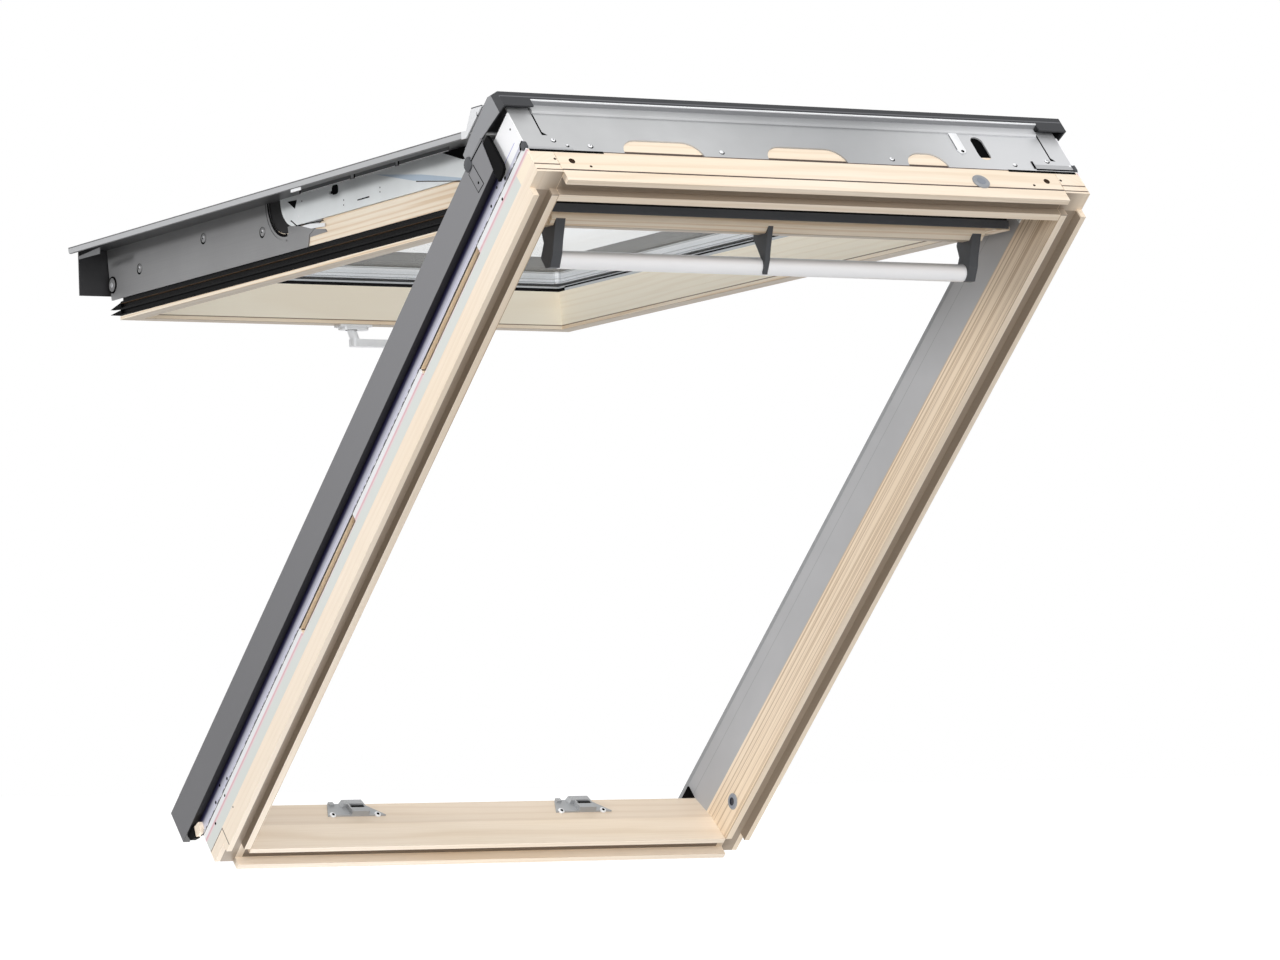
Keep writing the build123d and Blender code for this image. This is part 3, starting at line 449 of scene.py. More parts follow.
headFace = {
    "cheek": 0.3985, "fold": (0.0563, 0.0580), "foldOut": (0.148, 0.168), "rimOut": 0.1736,
    "rim": (0.0305, 0.0322), "rimStart": 0.155, "tone": tint(40, 40, 44),
}


def raisedMarks(f, x, d, w, colour):
    # the cheek's upright fold and its dark outline
    s = headFace
    fold = d.band(*s["fold"], softEdge) * w.band(*s["foldOut"], 0.0005)
    rim = (w > s["rimOut"]).most(d.band(*s["rim"], softEdge) * (w > s["rimStart"]))
    return f.mix((abs(x) > s["cheek"]) * fold.most(rim) * 0.9, colour, s["tone"])


def claddingMarks(f, x, d, w, colour):
    # one fine bend line along the reveal lining
    return f.mix(w.band(0.0885, 0.0892, softEdge) * 0.5, colour, tint(96, 97, 99))


sheetFace = {
    "middle": (-0.06, 0.14), "middleTone": tint(120, 122, 126),
    "right": (0.12, 0.30), "rightTone": tint(212, 213, 215),
    "band": 0.1139, "bandShade": tint(122, 123, 127),
}


def bandMarks(f, x, d, w, colour):
    # painted reflection: the top sheet darker in the middle and brighter to the right; its rolled band under
    # the hood is darker, painted shade
    s = sheetFace
    middle = f.mix(x.band(*s["middle"], 0.14) * 0.4, colour, s["middleTone"])
    bright = f.mix(x.ramp(*s["right"]), middle, s["rightTone"])
    return f.mix((w > s["band"]) * 0.5, bright, s["bandShade"])


def sealMarks(f, x, d, w, colour):
    # a bare strip under the black line along the sides, black along the foot
    s = {"side": 0.312, "sideEnd": 1.1, "line": (0.1046, 0.1070), "foot": 0.1056, "tone": tint(206, 209, 212)}
    sidewise = (abs(x) > s["side"]) * (d < s["sideEnd"])
    low, high = s["line"]
    strip = (w < low).most(w > high) * sidewise
    return f.mix(strip.most((w > s["foot"]) * (1 - sidewise)) * 0.9, colour, s["tone"])


def spacerMarks(f, x, d, w, colour):
    # rolled lines along the spacer
    lines = ((0.1134, 0.1142), (0.1180, 0.1186), (0.1262, 0.1272))
    first, second, third = [w.band(*line, softEdge) for line in lines]
    return f.mix(first.most(second).most(third) * 0.75, colour, tint(72, 76, 80))


def barMarks(f, x, d, w, colour):
    # the bar is painted greyer on its outer half, painted shade under the frame rail
    return f.mix(w.ramp(0.0005, 0.0085) * 0.8, colour, tint(128, 129, 134))


sashFace = {
    "topRail": 0.083, "roomOut": (0.0366, 0.0500), "roomShade": tint(150, 132, 110),
    "half": 0.333, "down": (0.083, 1.135), "line": (0.0543, 0.0556), "lineTone": tint(96, 72, 50),
    "revealTone": tint(255, 249, 232),
}


def sashWoodMarks(f, x, d, w, colour):
    # room faces dulled with painted shade, a reveal painted pale with painted light, and the fine line
    # between lip and reveal
    s = sashFace
    railOut, stileOut = s["roomOut"]
    room = ((d < s["topRail"]) * (w < railOut)).most((d > s["topRail"]) * (w < stileOut))
    inside = abs(x) < s["half"]
    # painted shade on the room faces
    faced = f.mix(room * 0.7, colour, s["roomShade"])
    # painted light: the reveal painted paler than the wood around it
    pale = f.mix(inside * d.band(*s["down"]) * (w > s["line"][1]) * 0.75, faced, s["revealTone"])
    return f.mix(w.band(*s["line"], thinEdge) * inside * d.band(*s["down"]) * 0.85, pale, s["lineTone"])


def gasketMarks(f, x, d, w, colour):
    # a thin brown seam between the lips of the gasket, and thin grey painted highlights on the lips
    brown = f.mix(w.band(0.0712, 0.0718, softEdge) * 0.8, colour, tint(104, 82, 60))
    lipGlints = w.band(0.0664, 0.0670, softEdge).most(w.band(0.0752, 0.0758, softEdge))
    return f.mix(lipGlints * 0.7, brown, tint(70, 72, 74))


def ringMarks(u, v, centre, bore, tone):
    # pale ring round a dark bore
    def marks(f, x, d, w, colour):
        place = {"x": x, "d": d, "w": w}
        overU, overV = place[u] - centre[0], place[v] - centre[1]
        return f.mix((overU * overU + overV * overV).root() > bore, colour, tone)
    return marks


bushMarks = ringMarks("d", "w", (1.095, 0.0115), 0.0055, tint(132, 137, 146))
grommetMarks = ringMarks("x", "w", (0.2357, 0.0139), 0.0055, tint(136, 138, 142))

finishes = {
    "pineStile": pine("lacquered pine, frame stiles", "frame", "down", look=stileLook, marks=stileMarks),
    "pineRail": pine("lacquered pine, frame rails", "frame", "across", 2.3, marks=railFaceMarks),
    "pineSashDown": pine("lacquered pine, sash stiles", "sash", "down", 4.1, sashLook, sashWoodMarks),
    "pineSashAcross": pine("lacquered pine, sash rails", "sash", "across", 6.7, sashLook, sashWoodMarks),
    "zincSheet": metal("zinc coated sheet", tint(196, 197, 198), 0.42, 0.35, 0.2, 0.03, run="across",
                       marks=bandMarks),
    "whiteSheet": metal("white coated sheet", tint(240, 240, 242), 0.5, 0.0, 0.05, 0.01, marks=flankMarks),
    "sideRail": metal("mill aluminium rail", tint(190, 190, 204), 0.45, 0.0, 0.1, 0.02, marks=railMarks),
    "revealGrey": metal("grey lacquered reveal", tint(176, 176, 178), 0.5, 0.0, 0.05, 0.02,
                        marks=claddingMarks),
    "charcoal": metal("charcoal lacquered cover", tint(112, 112, 115), 0.42, 0.0, 0.04, 0.02,
                      marks=underCover),
    "hoodDark": metal("dark lacquered hood", tint(58, 59, 62), 0.5, 0.0, 0.04, 0.03, run="across",
                      marks=hoodMarks, shine=0.25),
    "sashCover": metal("grey lacquered sash cover", tint(104, 105, 108), 0.42, 0.0, 0.04, 0.02, place="sash",
                       marks=flangeMarks),
    "raisedCover": metal("galvanised head cover", tint(226, 227, 229), 0.4, 0.1, 0.1, 0.02, place="sash",
                         run="across", marks=raisedMarks),
    "sidePlate": metal("grey coated plate", tint(140, 140, 141), 0.42, 0.2, 1.0, 0.04, place="sash"),
    "armZinc": metal("bright zinc plated arm", tint(240, 244, 245), 0.36, 0.15, 0.3, 0.04, place="sash"),
    "bareSpacer": metal("satin spacer", tint(226, 229, 233), 0.35, 0.2, 0.2, 0.03, place="sash",
                        marks=spacerMarks),
    "barSilver": metal("silver anodised bar", tint(250, 250, 252), 0.3, 0.15, 0.1, 0.005, place="sash",
                       run="across", marks=barMarks),
    "keeperSteel": metal("dark zinc keeper", tint(178, 180, 182), 0.38, 0.2, 0.2, 0.05),
    "handleSilver": metal("satin silver casting", tint(240, 241, 243), 0.32, 0.2, 0.1, 0.02, place="sash"),
    "darkCasing": metal("dark casing", tint(9, 9, 11), 0.45, 0.0, 0.05, 0.04, place="sash", run="across",
                        shine=0.15),
    "slate": metal("slate seal lip", tint(92, 97, 104), 0.5, 0.0, 0.05, 0.03, place="sash", run="across",
                   shine=0.2),
    "sashGasket": metal("black sash gasket", tint(7, 7, 8), 0.6, 0.0, 0.05, 0.03, place="sash",
                        marks=gasketMarks, shine=0.1),
    "glazingSeal": metal("black glazing seal", tint(11, 11, 12), 0.6, 0.0, 0.05, 0.03, place="sash",
                         marks=sealMarks, shine=0.12),
    "screwSteel": metal("bright screw", tint(224, 225, 228), 0.3, 0.5, 0.1, 0.04),
    "whiteZinc": metal("white zinc head", tint(244, 245, 247), 0.35, 0.1, 0.1, 0.02),
    "cornerZinc": metal("zinc corner tab", tint(186, 187, 189), 0.4, 0.3, 0.1, 0.04),
    "charcoalPlain": metal("charcoal inner fold", tint(92, 93, 95), 0.45, 0.0, 0.1, 0.04, place="sash"),
    "ringGrey": metal("grey moulded ring", tint(150, 153, 158), 0.4, 0.0, 0.05, 0.04),
    "coolSteel": metal("blue-white zinc fold", tint(190, 206, 222), 0.4, 0.1, 0.1, 0.04, place="sash"),
    "blackRubber": grained("black rubber", tint(7, 7, 8), 0.7, shine=0.06),
    "grommet": grained("cable grommet", tint(34, 35, 38), 0.5, marks=grommetMarks),
    "boltBush": grained("bolt bush", tint(40, 44, 56), 0.4, marks=bushMarks),
    "bracketGrey": grained("charcoal moulding", tint(72, 74, 78), 0.5, 700.0),
    "holeShade": grained("painted shade in bored holes", tint(56, 40, 30), 0.8, shine=0.1),
    "gapShade": grained("shadow gap", tint(8, 8, 9), 0.9, shine=0.05),
    "clearGlass": clearGlass("clear glass"),
}
print("finishes:", len(finishes))

nodesOf = {  # the frame's nodes that wear each finish
    "pineRail": "frame_top_rail frame_bottom_rail", "pineStile": "frame_left_stile frame_right_stile",
    "pineSashDown": "sash_left_stile sash_right_stile", "pineSashAcross": "sash_bottom_rail sash_top_rail",
    "zincSheet": "top_sheet", "whiteSheet": "left_flank_sheet right_flank_sheet bottom_flank_sheet",
    "sideRail": "left_side_rail right_side_rail",
    "revealGrey": "left_reveal_cladding right_reveal_cladding top_reveal_cladding",
    "charcoal": "left_side_cover right_side_cover frame_bottom_cover", "hoodDark": "top_hood",
    "sashCover": "left_upper_cover right_upper_cover left_lower_cover right_lower_cover sash_bottom_cover",
    "raisedCover": "sash_top_cover", "sidePlate": "left_side_plate right_side_plate",
    "armZinc": "left_arm right_arm left_hinge_plate right_hinge_plate left_hinge_pin right_hinge_pin",
    "darkCasing": "left_pivot_housing right_pivot_housing sash_top_casing",
    "bareSpacer": "glass_spacer", "barSilver": "control_bar",
    "bracketGrey": "left_bar_bracket middle_bar_bracket right_bar_bracket",
    "keeperSteel": "left_keeper right_keeper", "handleSilver": "handle_base handle_lever",
    "clearGlass": "inner_pane outer_pane", "blackRubber": "frame_bottom_gasket sash_bottom_gasket",
    "sashGasket": "sash_left_gasket sash_right_gasket", "glazingSeal": "glazing_seal",
    "boltBush": "bolt_bush", "grommet": "cable_grommet",
}
dressed = [(node, finish) for finish, nodes in nodesOf.items() for node in nodes.split()]
for node, finish in dressed:
    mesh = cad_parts[node].data
    mesh.materials.clear()
    mesh.materials.append(finishes[finish])
print("nodes dressed:", len(dressed))

# small pieces


class Piece:
    # prisms and turned heads of one finish, gathered into one mesh
    def __init__(self, name, place, finish):
        self.name, self.finish, self.start = name, finish, places[place][0]
        self.mesh = bmesh.new()

    def at(self, plane, u, v, level):
        # u and v are (d, w) across x, (x, w) across d, (x, d) across w
        return self.start(*{"x": (level, u, v), "d": (u, level, v), "w": (u, v, level)}[plane])

    def ring(self, plane, points, level):
        return [self.mesh.verts.new(self.at(plane, u, v, level)) for u, v in points]

    def skin(self, first, second):
        for i in range(len(first)):
            j = (i + 1) % len(first)
            self.mesh.faces.new((first[i], first[j], second[j], second[i]))

    def prism(self, plane, points, low, high, bevel=0.0):
        before = set(self.mesh.edges)
        first, second = self.ring(plane, points, low), self.ring(plane, points, high)
        self.skin(first, second)
        self.mesh.faces.new(list(reversed(first)))
        self.mesh.faces.new(second)
        if bevel:
            edges = [e for e in self.mesh.edges if e not in before]
            bmesh.ops.bevel(
                self.mesh, geom=edges, offset=bevel / 1000, segments=2, profile=0.6, affect="EDGES")

    def slab(self, sign, points, reach, bevel=0.0):
        # prism across the window, between two distances from its middle
        self.prism("x", points, sign * reach[0], sign * reach[1], bevel)

    def turned(self, plane, centre, profile, corners=24):
        # profile holds (radius, level) pairs from the rim inward
        rings, angles = [], [2 * pi * i / corners for i in range(corners)]
        for radius, level in profile:
            spots = [(centre[0] + radius * cos(angle), centre[1] + radius * sin(angle)) for angle in angles]
            rings.append(self.ring(plane, spots, level))
        for first, second in zip(rings, rings[1:]):
            self.skin(first, second)
        self.mesh.faces.new(rings[-1])

    def done(self):
        bmesh.ops.recalc_face_normals(self.mesh, faces=self.mesh.faces)
        mesh = bpy.data.meshes.new(self.name)
        self.mesh.to_mesh(mesh)
        self.mesh.free()
        made = bpy.data.objects.new(self.name, mesh)
        bpy.context.scene.collection.objects.link(made)
        mesh.materials.append(finishes[self.finish])
        mesh.shade_smooth()
        mesh.set_sharp_from_angle(angle=radians(35))
        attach(made, "root")


def box(u0, v0, u1, v1):
    return [(u0, v0), (u1, v0), (u1, v1), (u0, v1)]


def rounded(u0, v0, u1, v1, radius, steps=6):
    # rectangle with round corners, as a closed outline
    points = []
    for cu, cv, start in ((u1 - radius, v1 - radius, 0), (u0 + radius, v1 - radius, 90),
                          (u0 + radius, v0 + radius, 180), (u1 - radius, v0 + radius, 270)):
        for i in range(steps + 1):
            angle = radians(start + 90 * i / steps)
            points.append((cu + radius * cos(angle), cv + radius * sin(angle)))
    return points


def arc(centre, radius, start, end, steps=24):
    angles = [radians(start + (end - start) * i / steps) for i in range(steps + 1)]
    return [(centre[0] + radius * cos(angle), centre[1] + radius * sin(angle)) for angle in angles]


# top sheet: rivets with painted shadows, corner slits, pressed oblong, edge strips; levels run inward from
# the sheet's face
topSheet = {
    "rivets": ((-346.7, 56.7, 2.8), (-331, 48, 1.6), (-299.5, 49, 3.0), (-119, 48.3, 2.8), (122.8, 49.7, 2.8),
               (301.6, 49.1, 2.6), (353.6, 58.5, 2.8), (384, 50, 2.0)),
    "dimple": (0.3, -1.3, -1.45),
    "rivetShadow": 0.7, "rivetShadowDown": -0.7, "rivetShadowAside": 0.5,
    "rivetProfile": ((1, 0), (1, -0.5), (0.7, -1.2), (0.25, -1.4)),
    "slits": ((-357.2, 66, 114, 6.5), (361, 60, 114, 6)), "slitHalf": 1.0, "barbOut": 4.5, "barbIn": 1,
    "oblong": (228, 65, 240, 108), "oblongCorner": 5.9, "oblongRise": 1.4, "oblongBevel": 1.2,
    "eye": (232, 66.5, 236.5, 71), "eyeCorner": 2.2, "eyeLevels": (-1.2, -1.6),
    "strips": ((-386, 35.5, -286, 39.2), (287, 35.5, 386, 39.2)), "stripLevel": -0.4,
    "slot": (248, 65, 282, 102), "slotLevels": (3, 5),
    "tabGaps": (((328.5, 43, 331, 56), -1.0), ((331, 41, 388, 42.6), -0.9)),
    "tabs": (((331, 42.6, 387, 50.5), -0.8), ((-387, 40.5, -325, 44), -0.6)), "tabBevel": 0.3,
    "inside": 0.1, "paint": -0.15,  # a thin dark mark runs between these two levels
}
rivets = Piece("sheet_rivets", "frame", "whiteZinc")
sheetDark = Piece("sheet_slits_and_shadows", "frame", "gapShade")
inside, paint = topSheet["inside"], topSheet["paint"]
for x, w, radius in topSheet["rivets"]:
    # a dark disc set off below each rivet: its painted shadow
    wide = radius + topSheet["rivetShadow"]
    sheetDark.turned("d", (x + topSheet["rivetShadowAside"], w + topSheet["rivetShadowDown"]),
                     [(wide, inside), (wide, paint), (radius * 0.5, paint)])
    rivets.turned("d", (x, w), [(radius * part, level) for part, level in topSheet["rivetProfile"]])
rivets.prism("d", rounded(*topSheet["oblong"], topSheet["oblongCorner"]), 0, -topSheet["oblongRise"],
             topSheet["oblongBevel"])
rivets.done()
for x, low, high, foot in topSheet["slits"]:
    half = topSheet["slitHalf"]
    barb = [(x - half, low - topSheet["barbIn"]), (x + half, low + topSheet["barbOut"]),
            (x + foot, low - topSheet["barbIn"])]
    sheetDark.prism("d", box(x - half, low, x + half, high), inside, paint)
    sheetDark.prism("d", barb, inside, paint)
# dark strips under the sheet's lower edges: painted shadow
for strip in topSheet["strips"]:
    sheetDark.prism("d", box(*strip), inside, topSheet["stripLevel"])
sheetDark.prism("d", rounded(*topSheet["eye"], topSheet["eyeCorner"]), *topSheet["eyeLevels"])
for x, w, radius in topSheet["rivets"][::2]:
    part, low, high = topSheet["dimple"]
    sheetDark.turned("d", (x, w), [(radius * part, low), (radius * part, high)], 12)
# a dark plate in the pocket behind the sheet's slot: painted shadow
sheetDark.prism("d", box(*topSheet["slot"]), *topSheet["slotLevels"])
for outline, level in topSheet["tabGaps"]:
    sheetDark.prism("d", box(*outline), inside, level)
sheetDark.done()
tab = Piece("corner_tab", "frame", "cornerZinc")
for outline, level in topSheet["tabs"]:
    tab.prism("d", box(*outline), 0, level, topSheet["tabBevel"])
tab.done()

# top flank: flush dark discs of painted shade in the bored holes, and the ring of the cable grommet
holes = {
    "pegs": ((-335.5, 20.5), (335.5, 20.5)), "pegProfile": ((4.2, 0.5), (4.2, -0.08), (0.5, -0.08)),
    "pilots": ((-357.5, 23), (-313, 12), (313, 12), (357.5, 23)),
    "pilotProfile": ((1.8, 0.2), (1.8, -0.08), (0.4, -0.08)),
    "grommet": (235.7, 13.9), "ring": ((11.6, 0.2), (11.6, -1.2), (9.6, -2.4), (6.8, -2.2), (6.0, -1.6)),
    "bore": ((5.9, -1.5), (5.9, -1.75), (1.0, -1.75)),
}
bored = Piece("bored_holes", "frame", "holeShade")
for spot in holes["pegs"]:
    bored.turned("d", spot, holes["pegProfile"])
for spot in holes["pilots"]:
    bored.turned("d", spot, holes["pilotProfile"], 16)
bored.done()
grommetRing = Piece("grommet_ring", "frame", "ringGrey")
grommetRing.turned("d", holes["grommet"], holes["ring"], 32)
grommetRing.done()
grommetBore = Piece("grommet_bore", "frame", "boltBush")
grommetBore.turned("d", holes["grommet"], holes["bore"])
grommetBore.done()

# flank: holes beside the cover, head seal corner, shadow gaps at the seal and at the foot of the cover
flank = {  # d, w and radius of the holes beside the cover
    "holes": ((57.5, 52, 2.2), (78.4, 58.8, 1.7), (79.2, 39.2, 2.0), (103, 53.3, 2.0), (9, 83.3, 1.4),
              (1078.5, 51.6, 2.2), (1099.4, 59.5, 2.0), (1123, 51.7, 2.2), (1098.3, 40.6, 1.8),
              (1091.7, 14.2, 1.2), (1142.5, 33.3, 2.0)),
    "holeIn": 389.5, "holeOut": 390.1, "holeCentre": 0.4,
    "seal": (-1.5, 40, 6, 52), "sealCorner": 2.5, "sealReach": (386, 391.2), "sealBevel": 0.6,
    "sealGap": ((-1.0, 52), (6, 52), (9.5, 46.5), (8, 45), (5, 50.6), (-1.0, 50.6)),
    "sealGapReach": (390.2, 391.4), "footGapReach": (388, 391),
    "footGap": ((1179, 48), (1196, 58), (1200, 79), (1197, 79), (1193, 61), (1178, 56)),
}
flankHoles = Piece("flank_holes", "frame", "gapShade")
sealEnds = Piece("head_seal_ends", "frame", "bracketGrey")
for sign in sides.values():
    start, end = sign * flank["holeIn"], sign * flank["holeOut"]
    for d, w, radius in flank["holes"]:
        flankHoles.turned("x", (d, w), [(radius, start), (radius, end), (flank["holeCentre"], end)], 16)
    sealEnds.slab(sign, rounded(*flank["seal"], flank["sealCorner"]), flank["sealReach"], flank["sealBevel"])
    flankHoles.slab(sign, flank["sealGap"], flank["sealGapReach"])
    flankHoles.slab(sign, flank["footGap"], flank["footGapReach"])
flankHoles.done()
sealEnds.done()

# side covers: flush plate with its screw, rounded end of the hood ear, seam and end plug; reaches are across
coverPlate = {
    "outline": ((86.8, 106.7), (85.1, 72.7), (99.9, 74.5), (100.6, 105.8)),
    "reach": (399.9, 400.4), "bevel": 0.2,
    "middle": (93.1, 89.9), "growth": (1.16, 1.07), "gapReach": (399.9, 400.08),
    "screw": (91.8, 81.8), "screwProfile": ((1.7, 400.3), (1.7, 400.6), (0.5, 400.6)),
    "nub": (86, 108, 102, 125), "nubCorner": 5, "nubReach": (396.4, 401.2), "nubBevel": 1.2,
    "seam": ((52, 110.4), (52, 112.6), (86, 115.2), (86, 112.8)), "seamReach": (399.9, 400.1),
    "plug": ((41, 108), (39.5, 100), (39.5, 56), (42, 50), (48, 48), (60, 48), (60, 108)),
    "plugReach": (395.3, 399.3),
}
plates = Piece("cover_plates", "frame", "charcoal")
plateGaps = Piece("cover_plate_gaps", "frame", "gapShade")
nubs = Piece("hood_ear_ends", "frame", "bracketGrey")
plugs = Piece("cover_end_plugs", "frame", "blackRubber")
(middleDown, middleOut), (growDown, growOut) = coverPlate["middle"], coverPlate["growth"]
grown = [(middleDown + (d - middleDown) * growDown, middleOut + (w - middleOut) * growOut)
         for d, w in coverPlate["outline"]]
for sign in sides.values():
    screw = [(radius, sign * level) for radius, level in coverPlate["screwProfile"]]
    plateGaps.slab(sign, grown, coverPlate["gapReach"])
    plates.slab(sign, coverPlate["outline"], coverPlate["reach"], coverPlate["bevel"])
    plateGaps.turned("x", coverPlate["screw"], screw, 16)
    nubs.slab(sign, rounded(*coverPlate["nub"], coverPlate["nubCorner"]), coverPlate["nubReach"],
              coverPlate["nubBevel"])
    plateGaps.slab(sign, coverPlate["seam"], coverPlate["seamReach"])
    plugs.slab(sign, coverPlate["plug"], coverPlate["plugReach"])
for piece in (plugs, plates, plateGaps, nubs):
    piece.done()

# sash flanks: plate screws, ring bolt, pressed rings round the pivot, folds and slots of the arm.
# Profiles hold (radius, rise) pairs; rises and raised pairs count outward from the plate or the arm.
flankSet = {
    "plateFace": 343, "armFace": 344,
    "screws": ((1088.5, 111.5), (897.3, 127.5), (729.1, 114)),
    "screwShade": ((7.3, -0.2), (7.3, 0.15), (4.8, 0.15)), "shadeShift": (2.2, -0.6),
    "screwHead": ((5.8, 0), (5.8, 0.9), (4.8, 1.5), (2.2, 1.5)),
    "screwGlint": ((1.6, 1.4), (1.4, 1.8), (0.5, 1.9)), "glintShift": (-1.8, 1.2),
    "screwRecess": ((1.2, 1.4), (1.2, 1.7), (0.4, 1.7)), "recessShift": (0.6, -0.2),
    "bolt": (1172.5, 99.5), "boltShade": ((11.5, -0.2), (11.5, 1.2), (9.1, 1.2)),
    "boltHead": ((9.1, 0), (9.1, 1.5), (7.5, 1.9), (1, 1.9)),
    "boltGlint": ((3.4, 1.8), (3.0, 2.6), (1.0, 2.7)),
    "pivot": (665, 150), "ring": (56.5, 54.6, -92, -2), "ringRise": (0, 0.9), "ringBevel": 0.3,
    "groove": (50.5, 46.8, -94, -2), "grooveRise": (-0.1, 0.1),
    "armGaps": (((656.6, 143), (630.7, 142), (636.7, 131.5)),
                ((252, 149.5), (197, 133.5), (189, 132), (189, 149.5)),
                ((648, 118.5), (633, 110), (560, 107.2), (560, 106.4), (634, 108.8), (650, 117.5)),
                ((314.5, 123.2), (198.5, 107.6), (198.5, 106.6), (315, 122))),
    "armSlot": (518.5, 135.2, 535.3, 147.2), "armSlotCorner": 4.5, "armSlit": (436.9, 119.2, 468.2, 120.9),
    "armGapRise": (-0.2, 0.15),
    "armDots": ((504.6, 125), (505, 118.8), (408.3, 127.7), (408.6, 122.3), (617.3, 138.5)),
    "dotProfile": ((1.0, 0), (1.0, 0.12), (0.2, 0.12)),
    "armShine": (627.1, 120.7), "shineProfile": ((1.6, 0), (1.6, 0.3), (0.3, 0.3)),
    "armFold": ((417, 145), (321, 124.2), (198.5, 108), (198.5, 111), (300, 129)),
    "armFoldRise": (-0.2, 0.12),
    "recessPlate": ((640, 112), (622, 107), (596, 100.5), (560, 96), (556, 92), (604, 91), (660, 97),
                    (662, 112)),
    "recessPlateReach": (338.5, 342.2), "recessPlateBevel": 0.3,
    "recessLip": ((623, 107.6), (596, 101), (559, 99), (559, 103.5), (598, 107.4)),
    "recessLipReach": (342, 343.4), "recessLipBevel": 0.2,
    "folds": ((433, 566), (316, 420), (180, 305)), "foldOut": (140.2, 145.4), "foldReach": (371, 372),
    "hem": (-0.1, 0.8), "hemReach": (371.9, 372.3), "notch": 4, "notchReach": (371, 371.8),
    "tab": (514, 137.2, 541, 141.2), "tabCorner": 0.8, "tabReach": (398.2, 399.2),
    "noseStrip": ((1163, 131.4), (1164.7, 135.5), (1098.7, 139.5), (1099.3, 131)),
    "noseReach": (395.4, 396.4),
    "fins": (((1180.5, 66.3), (1148, 73), (1148, 64)), ((1181, 59.4), (1148, 63), (1148, 55))),
    "finReach": (337.5, 344),
}
# small bright discs: painted glints on the plate screws and the ring bolt
flankScrews = Piece("plate_screw_glints", "sash", "screwSteel")
flankDark = Piece("sash_flank_gaps", "sash", "gapShade")
pressed = Piece("pressed_rings", "sash", "sidePlate")
paleBits = Piece("flank_pale_bits", "sash", "whiteZinc")
armFolds = Piece("arm_folds", "sash", "coolSteel")
innerFolds = Piece("inner_folds", "sash", "charcoalPlain")
fins = Piece("gasket_ends", "sash", "blackRubber")


def bent(name):
    # a strip of the pivot's circle between two radii
    outer, inner, start, end = flankSet[name]
    return arc(flankSet["pivot"], outer, start, end) + arc(flankSet["pivot"], inner, end, start)


def reach(name, face):
    return [flankSet[face] + rise for rise in flankSet[name]]


def raised(sign, name, face):
    return [(radius, sign * (flankSet[face] + rise)) for radius, rise in flankSet[name]]


for sign in sides.values():
    for d, w in flankSet["screws"]:
        shade, glint, recess = [(d + flankSet[name][0], w + flankSet[name][1])
                                for name in ("shadeShift", "glintShift", "recessShift")]
        flankDark.turned("x", shade, raised(sign, "screwShade", "plateFace"))
        pressed.turned("x", (d, w), raised(sign, "screwHead", "plateFace"))
        flankScrews.turned("x", glint, raised(sign, "screwGlint", "plateFace"), 16)
        flankDark.turned("x", recess, raised(sign, "screwRecess", "plateFace"), 12)
    flankDark.turned("x", flankSet["bolt"], raised(sign, "boltShade", "plateFace"), 32)
    pressed.turned("x", flankSet["bolt"], raised(sign, "boltHead", "plateFace"), 32)
    flankScrews.turned("x", flankSet["bolt"], raised(sign, "boltGlint", "plateFace"), 20)
    pressed.slab(sign, bent("ring"), reach("ringRise", "plateFace"), flankSet["ringBevel"])
    flankDark.slab(sign, bent("groove"), reach("grooveRise", "plateFace"))
    slot = rounded(*flankSet["armSlot"], flankSet["armSlotCorner"])
    for outline in (*flankSet["armGaps"], slot, box(*flankSet["armSlit"])):
        flankDark.slab(sign, outline, reach("armGapRise", "armFace"))
    for spot in flankSet["armDots"]:
        flankDark.turned("x", spot, raised(sign, "dotProfile", "armFace"), 12)
    paleBits.turned("x", flankSet["armShine"], raised(sign, "shineProfile", "armFace"), 12)
    armFolds.slab(sign, flankSet["armFold"], reach("armFoldRise", "armFace"))
    pressed.slab(sign, flankSet["recessPlate"], flankSet["recessPlateReach"], flankSet["recessPlateBevel"])
    paleBits.slab(sign, flankSet["recessLip"], flankSet["recessLipReach"], flankSet["recessLipBevel"])
    low, high = flankSet["foldOut"]
    hemLow, hemHigh = flankSet["hem"]
    for start, end in flankSet["folds"]:
        innerFolds.slab(sign, box(start, low, end, high), flankSet["foldReach"])
        paleBits.slab(sign, box(start, low + hemLow, end, low + hemHigh), flankSet["hemReach"])
        flankDark.slab(sign, box(end, low, end + flankSet["notch"], high), flankSet["notchReach"])
    paleBits.slab(sign, rounded(*flankSet["tab"], flankSet["tabCorner"]), flankSet["tabReach"])
    innerFolds.slab(sign, flankSet["noseStrip"], flankSet["noseReach"])
    for outline in flankSet["fins"]:
        fins.slab(sign, outline, flankSet["finReach"])
for piece in (flankScrews, flankDark, pressed, paleBits, armFolds, innerFolds, fins):
    piece.done()

# glass: round silver beads in the lower corners of the spacer
bead = {"across": 309.5, "down": 1113.5, "profile": ((0.5, 112.2), (4.5, 112.2), (4.5, 127.8), (0.5, 127.8))}
beads = Piece("spacer_corner_beads", "sash", "bareSpacer")
for sign in sides.values():
    beads.turned("w", (sign * bead["across"], bead["down"]), bead["profile"])
beads.done()

# handle: screws in the flange and the dark gap under it
handle = {
    "gap": (-3, 1137), "gapProfile": ((8.2, 43), (8.2, 42.3), (6, 42.3)),
    "screws": ((-21.5, 1143), (21.5, 1143)), "screwProfile": ((2.2, 46.6), (2.2, 45.8), (1.2, 45.5)),
}
handleDark = Piece("handle_gap", "sash", "gapShade")
handleDark.turned("w", handle["gap"], handle["gapProfile"])
handleDark.done()
handleScrews = Piece("handle_screws", "sash", "screwSteel")
for spot in handle["screws"]:
    handleScrews.turned("w", spot, handle["screwProfile"], 16)
handleScrews.done()

